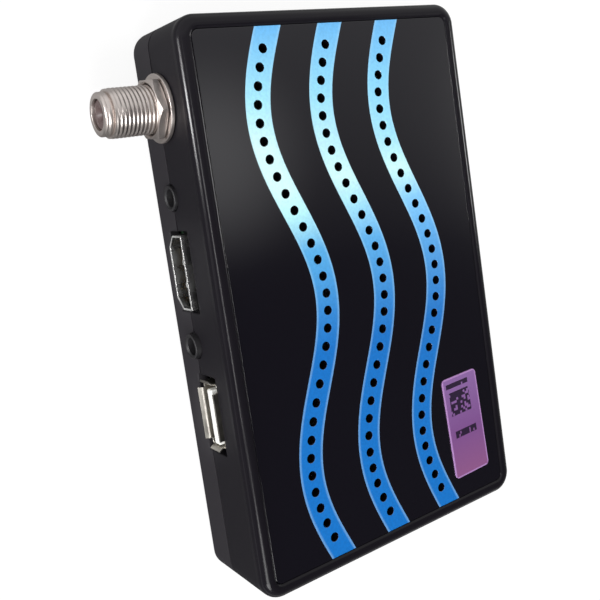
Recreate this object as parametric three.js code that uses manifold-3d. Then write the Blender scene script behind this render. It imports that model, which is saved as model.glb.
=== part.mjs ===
// A compact satellite television receiver, in millimetres.
// +X runs along the case, +Y points out of its connector side, and +Z points up from the
// surface that its feet stand on.
import * as THREE from "three";
import { mergeVertices } from "three/addons/utils/BufferGeometryUtils.js";
import Module from "manifold-3d";

const wasm = await Module();
wasm.setup();

// Clearances shared by all pieces.
const fit = 0.3; // between a piece and the opening that it passes through
const seat = 0.12; // under a piece that rests on another
const overrun = 1.0; // by which a cutting shape reaches past what it cuts
const mergeDistance = 1e-4;
const rodSides = 14;
const boreSides = 10;

// Case.
const caseLength = 112.5;
const caseWidth = 68.2;
const caseHeight = 21.3; // without the feet
const wall = 2.0;
const floorThickness = 2.0;
const deckThickness = 1.6;
const cornerRadius = 4.5;
const edgeRadius = 2.0; // round edge along the top of the rim
const baseRadius = 0.9;
const partingHeight = 8.14; // of the joint between the shells, above the underside
const partingGap = 0.35;
const lipHeight = 1.2;
const lipThickness = 0.8;
const rimWidth = 3.0; // from the case's side to the edge of the top panel
const rimChamfer = 0.6;
const panelDrop = 0.4; // of the top panel below the rim
const panelThickness = 1.0;
const cornerSteps = 4;
const edgeSteps = 4;
const openingCorner = 0.4; // of the rectangular openings in the sides

// Wavy rows of round air holes in the top panel, over slots in the deck.
const bandCount = 3;
const bandSpacing = 14.67;
const bandShift = 0.13; // of the middle row from the case's middle line
const waveHeight = 4.75;
const wavePeriod = 70.8;
const bandEndRoom = 6.0; // kept free between a row's last hole and the case's end
const holePitch = 3.5;
const holeDiameter = 1.85;
const holeSides = 8;
const slotWidth = 3.6;
const slotBridge = 1.3;
const slotsPerBand = 4;

// Blank sticker on the panel.
const labelLength = 23.0;
const labelWidth = 10.3;
const labelThickness = 0.18;
const labelCorner = 1.0;
const labelGlue = 0.05;
const labelInsetX = 19.1; // from the case's sides to the sticker's middle
const labelInsetY = 11.95;
const labelTilt = THREE.MathUtils.degToRad(1.8);

// Feet, case screws and the openings in the underside.
const footProud = 0.8;
const footDiameter = 8.0;
const footRecess = 0.6;
const footInsetX = 15.2;
const footInsetY = 10.1;
const bossInset = 5.85; // from the case's sides to each corner screw
const bossDiameter = 6.8;
const postDiameter = 6.2;
const bossDrop = 1.0; // of the joint between boss and post below the parting
const screwHeadDiameter = 5.0;
const screwHeadHeight = 1.7;
const screwDiameter = 2.6;
const screwLength = 11.0;
const screwPocketDepth = 3.2;
const screwHoleSpare = 1.2;
const crossLengthShare = 0.62;
const crossWidthShare = 0.16;
const crossDepthShare = 0.6;
const headTopShare = 0.7; // radius of a screw head's flat top
const screwSides = 10;
const ventCount = 6;
const ventLength = 24.0;
const ventWidth = 2.2;
const ventPitch = 5.2;
const ventGap = 12.0; // between the two groups

// Main board and its screws.
const boardThickness = 1.6;
const boardHeight = 3.4; // of its underside above the case's underside
const boardInset = 0.6; // from the inside of the walls
const boardClearance = 0.5;
const standoffDiameter = 6.0;
const standoffShares = [
  [-0.025, 0.186],
  [-0.34, -0.35],
  [0.34, -0.35],
];
const boardScrewDiameter = 2.2;
const boardScrewHeadDiameter = 4.4;
const boardScrewHeadHeight = 1.3;
const boardScrewLength = 3.8;

// Threaded antenna socket with its washer and nut.
const socketInset = 15.65; // from the case's end to its axis
const socketRise = 4.45; // of its axis above the board
const socketReach = 12.65; // from the case's side to its end face
const threadDiameter = 9.4;
const threadDepth = 0.4;
const threadPitch = 0.794;
const threadStart = 1.75; // from the end face to the first full thread
const leadDiameter = 8.3;
const lipEndDiameter = 7.4;
const lipBevel = 0.45;
const grooveWidth = 0.2;
const grooveDepth = 0.15;
const mouthDiameter = 5.9;
const rearBoreDiameter = 4.4;
const rearBoreStart = 3.0; // from the case's side, inwards
const socketWallSpare = 0.4; // between the thread and the hole in the case
const flangeDiameter = 11.2;
const flangeThickness = 1.5;
const stubDiameter = 6.0;
const stubLength = 4.6;
const socketSides = 22;
const insulatorSpare = 0.22;
const insulatorRecess = 0.45;
const insulatorTail = 0.8; // of the insulator behind the stub
const contactDiameter = 0.9;
const contactHoleDiameter = 1.4;
const contactRecess = 1.2;
const contactTail = 3.0;
const contactBend = 1.2;
const contactSteps = 12;
const washerDiameter = 13.34;
const washerThickness = 0.85;
const nutAcrossFlats = 11.1;
const nutThickness = 1.8;
const nutChamfer = 0.45;
const nutTurn = THREE.MathUtils.degToRad(36);
const nutSpare = 0.25; // between the thread and the nut or the washer

// Digital video socket.
const videoInset = 47.65; // from the case's end to its middle
const videoRise = 3.2;
const videoWidth = 15.0;
const videoHeight = 6.0;
const videoBevelX = 2.4;
const videoBevelZ = 2.2;
const videoSheet = 0.45;
const videoReach = 1.0;
const videoDepth = 11.5;
const videoTongueWidth = 11.0;
const videoTongueHeight = 1.5;
const videoTongueRecess = 1.4;
const videoBackDepth = 2.6;
const videoWindowWidth = 16.2;
const videoWindowHeight = 8.0;
const videoSpringX = 2.4;
const videoSpringWidth = 1.5;
const videoSpringDrop = 1.0;
const videoSpringLength = 5.0;
const videoSpringRecess = 0.4;

// Data socket with flared lips.
const dataInset = 76.3; // from the case's end to its middle
const dataRise = 5.8;
const dataWidth = 13.1;
const dataHeight = 5.7;
const dataSheet = 0.4;
const dataReach = 0.7;
const dataDepth = 13.0;
const dataLipReach = 1.1;
const dataSideFlare = 0.65;
const dataTopFlare = 0.2;
const dataBottomFlare = 0.85;
const dataLipSideLength = 4.2;
const dataLipFlatLength = 9.6;
const dataTongueWidth = 11.1;
const dataTongueHeight = 1.84;
const dataTongueRecess = 0.15;
const dataTongueDrop = 0.3; // below the shell's upper sheet
const dataBackDepth = 2.8;
const dataWindowWidth = 15.8;
const dataWindowHeight = 8.0;
const dataContactCount = 4;
const dataContactPitch = 2.25;
const dataContactWidth = 1.0;
const dataContactThickness = 0.2;
const dataContactRecess = 2.2;
const dataContactLength = 7.0;

// Legs that carry both sheet-metal sockets on the board.
const legWidth = 1.8;
const legInset = 2.2; // from the inside of the wall to the first leg

// Round jacks: power inlet and audio-video outlet.
const jackRise = 2.9;
const jackBarrelDiameter = 5.0;
const jackBoreDiameter = 3.6;
const powerReach = 0.6; // of each barrel out of the case's side
const outletReach = 1.1;
const jackWindowDiameter = 5.6;
const jackBackWall = 1.2;
const jackHeight = 5.4;
const powerInset = 32.95; // from the case's end to its axis
const powerWidth = 5.8;
const powerDepth = 9.0;
const powerPinDiameter = 1.3;
const powerPinRecess = 1.6;
const powerPinTail = 1.5;
const outletInset = 62.55; // from the case's end to its axis
const outletWidth = 6.4;
const outletDepth = 12.0;

// Tuner can.
const canShift = 3.5; // of its middle from the antenna socket's axis
const canWidth = 17.0;
const canDepth = 26.6;
const canHeight = 8.4;
const canSheet = 0.4;
const canDividerShare = 0.42;
const lidSkirt = 2.6;
const lidHoleDiameter = 1.8;
const lidHoleCount = 4;
const lidHolePitch = 4.4;

// Window, receiver and lamp in the side that faces away from the connectors.
const windowInset = 37.25; // from the case's far end to its middle
const windowLength = 22.0;
const windowHeight = 5.2;
const windowRise = 12.9; // of its middle above the case's underside
const windowSet = 0.15; // below the case's surface
const windowFlange = 1.0;
const windowFlangeThickness = 0.9;
const eyeWidth = 5.6;
const eyeThickness = 3.0;
const eyeHeight = 6.2;
const eyeLensRadius = 1.6;
const eyeX = -4.5; // from the window's middle
const lampX = 4.5;
const lampDiameter = 3.0;
const lampFlange = 0.5;
const lampLength = 4.6;
const leadWidth = 0.6;
const leadPitch = 2.54;
const eyeToWindow = 1.0;

// Components on the board: length, width and height, and places as shares of the case or
// measured from the tuner can and the power inlet.
const mainChipSize = 15.0;
const mainChipHeight = 1.5;
const mainChipShare = [-0.055, -0.07];
const sinkSize = 21.0;
const sinkBase = 1.8;
const sinkHeight = 7.2;
const finCount = 7;
const finThickness = 1.0;
const memoryLength = 12.6;
const memoryWidth = 8.0;
const memoryHeight = 1.1;
const memoryShare = [0.13, -0.06];
const flashLength = 5.3;
const flashWidth = 5.2;
const flashHeight = 1.8;
const flashShare = [-0.24, -0.2];
const regulatorSize = 6.0;
const regulatorHeight = 1.0;
const regulatorShare = [0.34, -0.14];
const tunerChipSize = 7.0;
const tunerChipHeight = 0.9;
const dimpleDiameter = 1.0;
const dimpleDepth = 0.15;
const dimpleInset = 1.3;
const crystalLength = 11.0;
const crystalWidth = 4.6;
const crystalHeight = 3.4;
const crystalShare = [-0.25, 0.02];
const coilSize = 6.8;
const coilHeight = 3.6;
const coilDrumDiameter = 5.4;
const coilDrumDrop = 0.5;
const coilSpacing = 8.0;
const coilShift = 1.6; // of the nearer coil from the power inlet's axis
const coilWidthShare = 0.195;
const canisterDiameter = 6.3;
const canisterHeight = 7.6;
const canisterWaist = 0.25;
const canisterBase = 1.0;
const canisterLengthShare = -0.4; // of the pair near the case's far end
const canisterWidthShares = [0.17, 0.03];
const canisterGap = 0.6; // between the other pair and the tuner can's lid
const canisterByCanShares = [-0.25, 0.08];

// Heights and faces worked out from the sizes above.
const underside = footProud;
const caseTop = underside + caseHeight;
const parting = underside + partingHeight;
const floorTop = underside + floorThickness;
const panelTop = caseTop - panelDrop;
const panelUnderside = panelTop - panelThickness;
const deckTop = panelUnderside - seat;
const deckUnderside = deckTop - deckThickness;
const sideFace = caseWidth / 2;
const innerFace = sideFace - wall;
const boardUnderside = underside + boardHeight;
const boardTop = boardUnderside + boardThickness;
const boardLength = caseLength - 2 * (wall + boardInset);
const boardWidth = caseWidth - 2 * (wall + boardInset);
const bossX = caseLength / 2 - bossInset;
const bossY = caseWidth / 2 - bossInset;
const bossTop = parting - bossDrop;
const socketZ = boardTop + socketRise;
const videoZ = boardTop + videoRise;
const dataZ = boardTop + dataRise;
const jackZ = boardTop + jackRise;
const socketX = caseLength / 2 - socketInset;
const powerX = caseLength / 2 - powerInset;
const videoX = caseLength / 2 - videoInset;
const outletX = caseLength / 2 - outletInset;
const dataX = caseLength / 2 - dataInset;
const windowX = windowInset - caseLength / 2;
const labelX = labelInsetX - caseLength / 2;
const labelY = labelInsetY - caseWidth / 2;
const ventX = (ventLength + ventGap) / 2;
const holesPerSide = Math.floor((caseLength / 2 - bandEndRoom) / holePitch);
const holesPerBand = 2 * holesPerSide + 1;
const canX = socketX - canShift;
const lidEdge = canX - canWidth / 2 - canSheet - fit;
const flangeBack = innerFace - fit - flangeThickness;
const canFront = flangeBack - 2 * fit - canSheet;
const canBack = canFront - canDepth;
const windowZ = underside + windowRise;
const windowInside = innerFace - windowFlangeThickness - seat;
const washerInner = threadDiameter + 2 * nutSpare;

// Solids and the shapes that they are made of.

function solidOf(geometry) {
  const bare = geometry.index ? geometry.toNonIndexed() : geometry.clone();
  bare.deleteAttribute("normal");
  bare.deleteAttribute("uv");
  const merged = mergeVertices(bare, mergeDistance);
  return new wasm.Manifold(
    new wasm.Mesh({
      numProp: 3,
      vertProperties: merged.attributes.position.array,
      triVerts: new Uint32Array(merged.index.array),
    }),
  );
}

function geometryOf(solid) {
  const mesh = solid.getMesh();
  const geometry = new THREE.BufferGeometry();
  geometry.setAttribute("position", new THREE.BufferAttribute(mesh.vertProperties, 3));
  geometry.setIndex(new THREE.BufferAttribute(mesh.triVerts, 1));
  geometry.computeVertexNormals();
  return geometry;
}

function joined(solids) {
  return solids.reduce((whole, solid) => whole.add(solid));
}

function cut(body, tools) {
  return tools.reduce((rest, tool) => rest.subtract(tool), body);
}

// A box by its middle in X and Y and its lowest and highest Z.
function block(lengthX, lengthY, x, y, zLow, zHigh) {
  const box = new THREE.BoxGeometry(lengthX, lengthY, zHigh - zLow);
  return solidOf(box.translate(x, y, (zLow + zHigh) / 2));
}

// An upright prism of an outline in X and Y.
function upright(shape, zLow, zHigh, curveSegments = 3) {
  const depth = zHigh - zLow;
  const prism = new THREE.ExtrudeGeometry(shape, { depth, bevelEnabled: false, curveSegments });
  return solidOf(prism.translate(0, 0, zLow));
}

// A prism along Y of an outline in X and Z.
function along(shape, yLow, yHigh, curveSegments = 3) {
  const depth = yHigh - yLow;
  const prism = new THREE.ExtrudeGeometry(shape, { depth, bevelEnabled: false, curveSegments });
  return solidOf(prism.rotateX(Math.PI / 2).translate(0, yHigh, 0));
}

function uprightRod(diameter, x, y, zLow, zHigh, sides = rodSides) {
  const rod = new THREE.CylinderGeometry(diameter / 2, diameter / 2, zHigh - zLow, sides);
  return solidOf(rod.rotateX(Math.PI / 2).translate(x, y, (zLow + zHigh) / 2));
}

function rodAlong(diameter, x, z, yLow, yHigh, sides = rodSides) {
  const rod = new THREE.CylinderGeometry(diameter / 2, diameter / 2, yHigh - yLow, sides);
  return solidOf(rod.translate(x, (yLow + yHigh) / 2, z));
}

// A turned solid about Y, from [radius, y] pairs that run up the outside.
function turned(profile, sides) {
  const points = profile.map(([radius, y]) => new THREE.Vector2(radius, y));
  return solidOf(new THREE.LatheGeometry(points, sides));
}

function roundedRectangle(width, height, radius, x = 0, y = 0) {
  const shape = new THREE.Shape();
  const right = x + width / 2 - radius;
  const left = x - width / 2 + radius;
  const top = y + height / 2 - radius;
  const bottom = y - height / 2 + radius;
  shape.absarc(right, top, radius, 0, Math.PI / 2);
  shape.absarc(left, top, radius, Math.PI / 2, Math.PI);
  shape.absarc(left, bottom, radius, Math.PI, 1.5 * Math.PI);
  shape.absarc(right, bottom, radius, 1.5 * Math.PI, 2 * Math.PI);
  shape.closePath();
  return shape;
}

function polygon(points) {
  return new THREE.Shape(points.map(([x, y]) => new THREE.Vector2(x, y)));
}

// The case's rounded outline, drawn in by an inset, at a height.
function caseRing(inset, z) {
  const radius = cornerRadius - inset;
  const straightX = caseLength / 2 - cornerRadius;
  const straightY = caseWidth / 2 - cornerRadius;
  const ring = [];
  for (let corner = 0; corner < 4; corner += 1) {
    const signX = corner === 0 || corner === 3 ? 1 : -1;
    const signY = corner < 2 ? 1 : -1;
    for (let step = 0; step <= cornerSteps; step += 1) {
      const angle = (Math.PI / 2) * (corner + step / cornerSteps);
      const x = signX * straightX + radius * Math.cos(angle);
      const y = signY * straightY + radius * Math.sin(angle);
      ring.push([x, y, z]);
    }
  }
  return ring;
}

// A closed solid through rings of equal count, from the lowest to the highest.
function lofted(rings) {
  const count = rings[0].length;
  const positions = [];
  const triangle = (a, b, c) => positions.push(...a, ...b, ...c);
  for (let level = 0; level + 1 < rings.length; level += 1) {
    const low = rings[level];
    const high = rings[level + 1];
    for (let i = 0; i < count; i += 1) {
      const next = (i + 1) % count;
      triangle(low[i], low[next], high[next]);
      triangle(low[i], high[next], high[i]);
    }
  }
  const first = rings[0];
  const last = rings[rings.length - 1];
  for (let i = 1; i + 1 < count; i += 1) {
    triangle(first[0], first[i + 1], first[i]);
    triangle(last[0], last[i], last[i + 1]);
  }
  const geometry = new THREE.BufferGeometry();
  geometry.setAttribute("position", new THREE.Float32BufferAttribute(positions, 3));
  return solidOf(geometry);
}

function caseBlock(inset, zLow, zHigh) {
  return lofted([caseRing(inset, zLow), caseRing(inset, zHigh)]);
}

// Rings of a quarter-round edge: inset and height follow a circle of the given radius.
function roundEdge(radius, zTangent, direction) {
  const rings = [];
  for (let step = 0; step <= edgeSteps; step += 1) {
    const angle = (Math.PI / 2) * (step / edgeSteps);
    const inset = radius * (1 - Math.cos(angle));
    rings.push(caseRing(inset, zTangent + direction * radius * Math.sin(angle)));
  }
  return rings;
}

// The wavy middle line of a row of holes, and the direction square to it.
function bandMiddle(band) {
  return bandShift + (band - (bandCount - 1) / 2) * bandSpacing;
}

function waveY(band, x) {
  return bandMiddle(band) - waveHeight * Math.cos((2 * Math.PI * x) / wavePeriod);
}

function waveOffset(band, x, side) {
  const turn = (2 * Math.PI) / wavePeriod;
  const slope = waveHeight * turn * Math.sin(turn * x);
  const length = Math.hypot(1, slope);
  return [x - (side * slope) / length, waveY(band, x) + side / length];
}

function holeX(index) {
  return holePitch * (index - holesPerSide);
}

// Openings in the connector side, which cross the joint between the shells.
function sideOpenings() {
  const yLow = innerFace - overrun;
  const yHigh = sideFace + overrun;
  const videoWindow = roundedRectangle(videoWindowWidth, videoWindowHeight, openingCorner, videoX,
    videoZ);
  const dataWindow = roundedRectangle(dataWindowWidth, dataWindowHeight, openingCorner, dataX, dataZ);
  return [
    along(videoWindow, yLow, yHigh, 1),
    along(dataWindow, yLow, yHigh, 1),
    rodAlong(threadDiameter + 2 * socketWallSpare, socketX, socketZ, yLow, yHigh, socketSides),
    rodAlong(jackWindowDiameter, powerX, jackZ, yLow, yHigh),
    rodAlong(jackWindowDiameter, outletX, jackZ, yLow, yHigh),
  ];
}

function cornerPlaces(x, y) {
  return [
    [x, y],
    [-x, y],
    [-x, -y],
    [x, -y],
  ];
}

const footPlaces = cornerPlaces(caseLength / 2 - footInsetX, caseWidth / 2 - footInsetY);
const bossPlaces = cornerPlaces(bossX, bossY);
const standoffPlaces = standoffShares.map(([x, y]) => [x * caseLength, y * caseWidth]);
const pocketTop = underside + screwPocketDepth;
const screwTip = pocketTop - seat + screwLength;

function lowerShell() {
  const outside = lofted([...roundEdge(baseRadius, underside + baseRadius, -1).reverse(),
    caseRing(0, parting - partingGap / 2)]);
  const lipOutside = caseBlock(wall - lipThickness, floorTop, parting + lipHeight);
  const inside = caseBlock(wall, floorTop, parting + lipHeight + overrun);
  let shell = outside.add(lipOutside).subtract(inside);
  const bosses = bossPlaces.map(([x, y]) =>
    uprightRod(bossDiameter, x, y, floorTop - seat, bossTop));
  const standoffs = standoffPlaces.map(([x, y]) =>
    uprightRod(standoffDiameter, x, y, floorTop - seat, boardUnderside - seat));
  shell = joined([shell, ...bosses, ...standoffs]);
  const holes = [];
  for (const [x, y] of bossPlaces) {
    holes.push(uprightRod(screwHeadDiameter + 2 * fit, x, y, underside - overrun, pocketTop));
    holes.push(uprightRod(screwDiameter + 2 * fit, x, y, underside, bossTop + overrun,
      boreSides));
  }
  for (const [x, y] of standoffPlaces) {
    const zLow = boardTop - boardScrewLength - seat;
    holes.push(uprightRod(boardScrewDiameter + 2 * fit, x, y, zLow, boardTop, boreSides));
  }
  for (const [x, y] of footPlaces) {
    const recess = footDiameter + 2 * fit;
    holes.push(uprightRod(recess, x, y, underside - overrun, underside + footRecess));
  }
  for (const side of [-1, 1]) {
    for (let i = 0; i < ventCount; i += 1) {
      const y = ventPitch * (i - (ventCount - 1) / 2);
      const slot = roundedRectangle(ventLength, ventWidth, ventWidth / 2, side * ventX, y);
      holes.push(upright(slot, underside - overrun, floorTop + overrun, 2));
    }
  }
  return cut(shell, [...holes, ...sideOpenings()]);
}

function deckSlots() {
  const slots = [];
  for (let band = 0; band < bandCount; band += 1) {
    for (let slot = 0; slot < slotsPerBand; slot += 1) {
      const first = Math.round((slot * holesPerBand) / slotsPerBand);
      const count = Math.round(((slot + 1) * holesPerBand) / slotsPerBand) - first;
      const start = holeX(first) - (holePitch - slotBridge) / 2;
      const end = holeX(first + count - 1) + (holePitch - slotBridge) / 2;
      const above = [];
      const below = [];
      for (let i = 0; i <= count; i += 1) {
        const x = start + ((end - start) * i) / count;
        above.push(waveOffset(band, x, slotWidth / 2));
        below.push(waveOffset(band, x, -slotWidth / 2));
      }
      const outline = polygon([...below, ...above.reverse()]);
      slots.push(upright(outline, deckUnderside - overrun, deckTop + overrun));
    }
  }
  return slots;
}

function upperShell() {
  const bottom = parting + partingGap / 2;
  const outside = lofted([caseRing(0, bottom), ...roundEdge(edgeRadius, caseTop - edgeRadius, 1)]);
  const inside = caseBlock(wall, bottom - overrun, deckUnderside);
  const rebate = caseBlock(wall - lipThickness - fit, bottom - overrun,
    parting + lipHeight + fit);
  const recessInset = rimWidth - fit;
  const recess = lofted([caseRing(recessInset, deckTop), caseRing(recessInset, panelTop),
    caseRing(recessInset - rimChamfer, caseTop), caseRing(recessInset - rimChamfer,
      caseTop + overrun)]);
  const posts = bossPlaces.map(([x, y]) =>
    uprightRod(postDiameter, x, y, bossTop + seat, deckUnderside + seat));
  const body = joined([cut(outside, [inside, rebate]), ...posts]);
  const pilots = bossPlaces.map(([x, y]) => uprightRod(screwDiameter + 2 * fit, x, y,
    bossTop - overrun, screwTip + screwHoleSpare, boreSides));
  return cut(body, [recess, ...pilots, ...deckSlots(), ...sideOpenings(), windowCut()]);
}

function topPanel() {
  const outline = new THREE.Shape(caseRing(rimWidth, 0).map(([x, y]) => new THREE.Vector2(x, y)));
  for (let band = 0; band < bandCount; band += 1) {
    for (let index = 0; index < holesPerBand; index += 1) {
      const x = holeX(index);
      const hole = new THREE.Path();
      for (let side = 0; side < holeSides; side += 1) {
        const angle = -(2 * Math.PI * (side + 0.5)) / holeSides;
        const across = (holeDiameter / 2) * Math.cos(angle);
        const up = (holeDiameter / 2) * Math.sin(angle);
        const place = [x + across, waveY(band, x) + up];
        if (side === 0) hole.moveTo(...place);
        else hole.lineTo(...place);
      }
      hole.closePath();
      outline.holes.push(hole);
    }
  }
  return upright(outline, panelUnderside, panelTop);
}

function panelLabel() {
  const shape = roundedRectangle(labelLength, labelWidth, labelCorner);
  return upright(shape, 0, labelThickness);
}

function rubberFoot() {
  const radius = footDiameter / 2;
  const height = footProud + footRecess - seat;
  const bevel = footRecess / 2;
  return turned([[0, 0], [radius - bevel, 0], [radius, bevel], [radius, height], [0, height]],
    rodSides).rotate([90, 0, 0]);
}

// A pan-head screw with a cross recess, standing on its tip, with its head on top.
function screw(headDiameter, headHeight, diameter, length) {
  const radius = headDiameter / 2;
  const tip = diameter / 2;
  const body = turned([[0, -length], [tip / 2, -length], [tip, tip - length], [tip, 0], [radius, 0],
    [radius, headHeight / 2], [radius * headTopShare, headHeight], [0, headHeight]],
    screwSides).rotate([90, 0, 0]);
  const slotLength = headDiameter * crossLengthShare;
  const slotWide = headDiameter * crossWidthShare;
  const slotLow = headHeight * (1 - crossDepthShare);
  const high = headHeight + overrun;
  return cut(body, [block(slotLength, slotWide, 0, 0, slotLow, high),
    block(slotWide, slotLength, 0, 0, slotLow, high)]);
}

function mainBoard() {
  const cornerX = bossX - bossDiameter / 2 - boardClearance;
  const cornerY = bossY - bossDiameter / 2 - boardClearance;
  let board = block(boardLength, boardWidth, 0, 0, boardUnderside, boardTop);
  const low = boardUnderside - overrun;
  const high = boardTop + overrun;
  const span = caseWidth / 2;
  const notches = cornerPlaces(1, 1).map(([signX, signY]) => block(span, span,
    signX * (cornerX + span / 2), signY * (cornerY + span / 2), low, high));
  const notchBack = flangeBack - boardClearance;
  notches.push(block(flangeDiameter + 2 * boardClearance, span, socketX, notchBack + span / 2,
    low, high));
  for (const [x, y] of standoffPlaces) {
    notches.push(uprightRod(boardScrewDiameter + 2 * fit, x, y, low, high, boreSides));
  }
  board = cut(board, notches);
  return board;
}

// Antenna socket, turned about its own axis, with y = 0 at the case's side.
function socketBody() {
  const thread = threadDiameter / 2;
  const root = thread - threadDepth;
  const lead = leadDiameter / 2;
  const back = -wall - fit;
  const mouth = mouthDiameter / 2;
  const groove = socketReach - lipBevel - grooveWidth;
  const profile = [[flangeDiameter / 2, back - flangeThickness], [flangeDiameter / 2, back],
    [root, back]];
  const top = socketReach - threadStart;
  const ridges = Math.floor((top - back) / threadPitch);
  for (let ridge = 0; ridge < ridges; ridge += 1) {
    const y = top - (ridges - ridge) * threadPitch;
    profile.push([root, y], [thread, y + threadPitch / 2]);
  }
  profile.push([root, top], [lead, top + grooveWidth], [lead, groove - grooveWidth],
    [lead - grooveDepth, groove], [lead, groove + grooveWidth], [lipEndDiameter / 2, socketReach],
    [mouth, socketReach], [mouth, -rearBoreStart], [rearBoreDiameter / 2, -rearBoreStart],
    [rearBoreDiameter / 2, back - flangeThickness - stubLength],
    [stubDiameter / 2, back - flangeThickness - stubLength],
    [stubDiameter / 2, back - flangeThickness],
    [flangeDiameter / 2, back - flangeThickness]);
  return turned(profile, socketSides);
}

const stubEnd = -wall - fit - flangeThickness - stubLength;

function socketInsulator() {
  const front = mouthDiameter / 2 - insulatorSpare;
  const rear = rearBoreDiameter / 2 - insulatorSpare;
  const hole = contactHoleDiameter / 2;
  const end = stubEnd - insulatorTail;
  const face = socketReach - insulatorRecess;
  const step = insulatorSpare - rearBoreStart;
  return turned([[rear, end], [rear, step], [front, step], [front, face], [hole * 2, face],
    [hole, face - hole], [hole, end], [rear, end]], rodSides);
}

// The centre contact runs back through the insulator and bends down to the board.
function socketContact() {
  const end = stubEnd - insulatorTail;
  const route = new THREE.CurvePath();
  const bendY = end - contactTail;
  const start = new THREE.Vector3(0, socketReach - contactRecess, 0);
  const bendStart = new THREE.Vector3(0, bendY + contactBend, 0);
  const bend = new THREE.Vector3(0, bendY, 0);
  const bendEnd = new THREE.Vector3(0, bendY, -contactBend);
  route.add(new THREE.LineCurve3(start, bendStart));
  route.add(new THREE.QuadraticBezierCurve3(bendStart, bend, bendEnd));
  route.add(new THREE.LineCurve3(bendEnd, new THREE.Vector3(0, bendY, seat - socketRise)));
  const section = new THREE.Shape().absarc(0, 0, contactDiameter / 2, 0, 2 * Math.PI);
  return solidOf(new THREE.ExtrudeGeometry(section, { steps: contactSteps, curveSegments: 2,
    extrudePath: route }));
}

function lockWasher() {
  const inner = washerInner / 2;
  const outer = washerDiameter / 2;
  return turned([[inner, 0], [outer, 0], [outer, washerThickness], [inner, washerThickness],
    [inner, 0]], socketSides);
}

// A hexagon nut about Y, with its outer edges chamfered by a cone.
function hexNut() {
  const corner = nutAcrossFlats / Math.sqrt(3);
  const prism = new THREE.CylinderGeometry(corner, corner, nutThickness, 6)
    .rotateY(Math.PI / 2 - nutTurn)
    .translate(0, nutThickness / 2, 0);
  const cone = turned([[0, 0], [corner, 0], [corner, nutThickness - nutChamfer],
    [nutAcrossFlats / 2, nutThickness], [0, nutThickness]], socketSides);
  const bore = rodAlong(washerInner, 0, 0, -overrun, nutThickness + overrun, socketSides);
  return solidOf(prism).intersect(cone).subtract(bore);
}

// Outline of the video socket's shell, drawn in by the sheet's thickness for its opening.
function videoOutline(inset) {
  const half = videoWidth / 2 - inset;
  const top = videoHeight / 2 - inset;
  const shoulder = videoBevelZ - videoHeight / 2;
  const foot = videoWidth / 2 - videoBevelX - inset / 2;
  return polygon([[-foot, -top], [foot, -top], [half, shoulder], [half, top], [-half, top],
    [-half, shoulder]]);
}

// Four legs under a socket, from the board up into its side sheets.
function socketLegs(x, halfWidth, sheet, zHigh) {
  const legs = [];
  for (const side of [-1, 1]) {
    for (const y of [innerFace - legInset, innerFace - 3 * legInset]) {
      legs.push(block(sheet, legWidth, x + side * (halfWidth - sheet / 2), y, boardTop + seat,
        zHigh));
    }
  }
  return legs;
}

const videoFront = sideFace + videoReach;
const videoRear = videoFront - videoDepth;

function videoShell() {
  const outer = along(videoOutline(0), videoRear, videoFront).translate([videoX, 0, videoZ]);
  const inner = along(videoOutline(videoSheet), videoRear - overrun, videoFront + overrun)
    .translate([videoX, 0, videoZ]);
  const sheetUnder = videoZ + videoHeight / 2 - videoSheet;
  const springs = [-1, 1].map((side) => {
    const high = videoFront - videoSpringRecess;
    const profile = polygon([[high, sheetUnder + videoSheet / 2],
      [high - videoSpringLength / 4, sheetUnder - videoSpringDrop],
      [high - videoSpringLength, sheetUnder + videoSheet / 2]]);
    const wedge = new THREE.ExtrudeGeometry(profile, { depth: videoSpringWidth,
      bevelEnabled: false });
    const place = videoX + side * videoSpringX - videoSpringWidth / 2;
    return solidOf(wedge.rotateX(Math.PI / 2).rotateZ(Math.PI / 2).translate(place, 0, 0));
  });
  const legs = socketLegs(videoX, videoWidth / 2, videoSheet, videoZ);
  return joined([outer.subtract(inner), ...springs, ...legs]);
}

function videoInsert() {
  const tongueFront = videoFront - videoTongueRecess;
  const width = videoWidth - 2 * videoSheet - 2 * fit;
  const high = videoZ + videoHeight / 2 - videoSheet - fit;
  const back = videoRear - seat - videoBackDepth / 2;
  const tongueLow = videoZ - videoTongueHeight / 2;
  return joined([
    block(videoTongueWidth, tongueFront - videoRear + seat * 2, videoX,
      (tongueFront + videoRear - seat * 2) / 2, tongueLow, tongueLow + videoTongueHeight),
    block(width, videoBackDepth, videoX, back, boardTop + seat, high),
  ]);
}

const dataFront = sideFace + dataReach;
const dataTube = dataFront - dataLipReach;
const dataRear = dataFront - dataDepth;

// A flared lip: a slanted strip at the mouth, that leans outwards as it comes forward.
function flaredLip(length, flare) {
  const strip = polygon([[0, 0], [dataSheet, 0], [dataSheet + flare, dataLipReach],
    [flare, dataLipReach]]);
  const depth = length;
  const lip = new THREE.ExtrudeGeometry(strip, { depth, bevelEnabled: false });
  return lip.translate(-dataSheet, 0, -length / 2);
}

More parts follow.
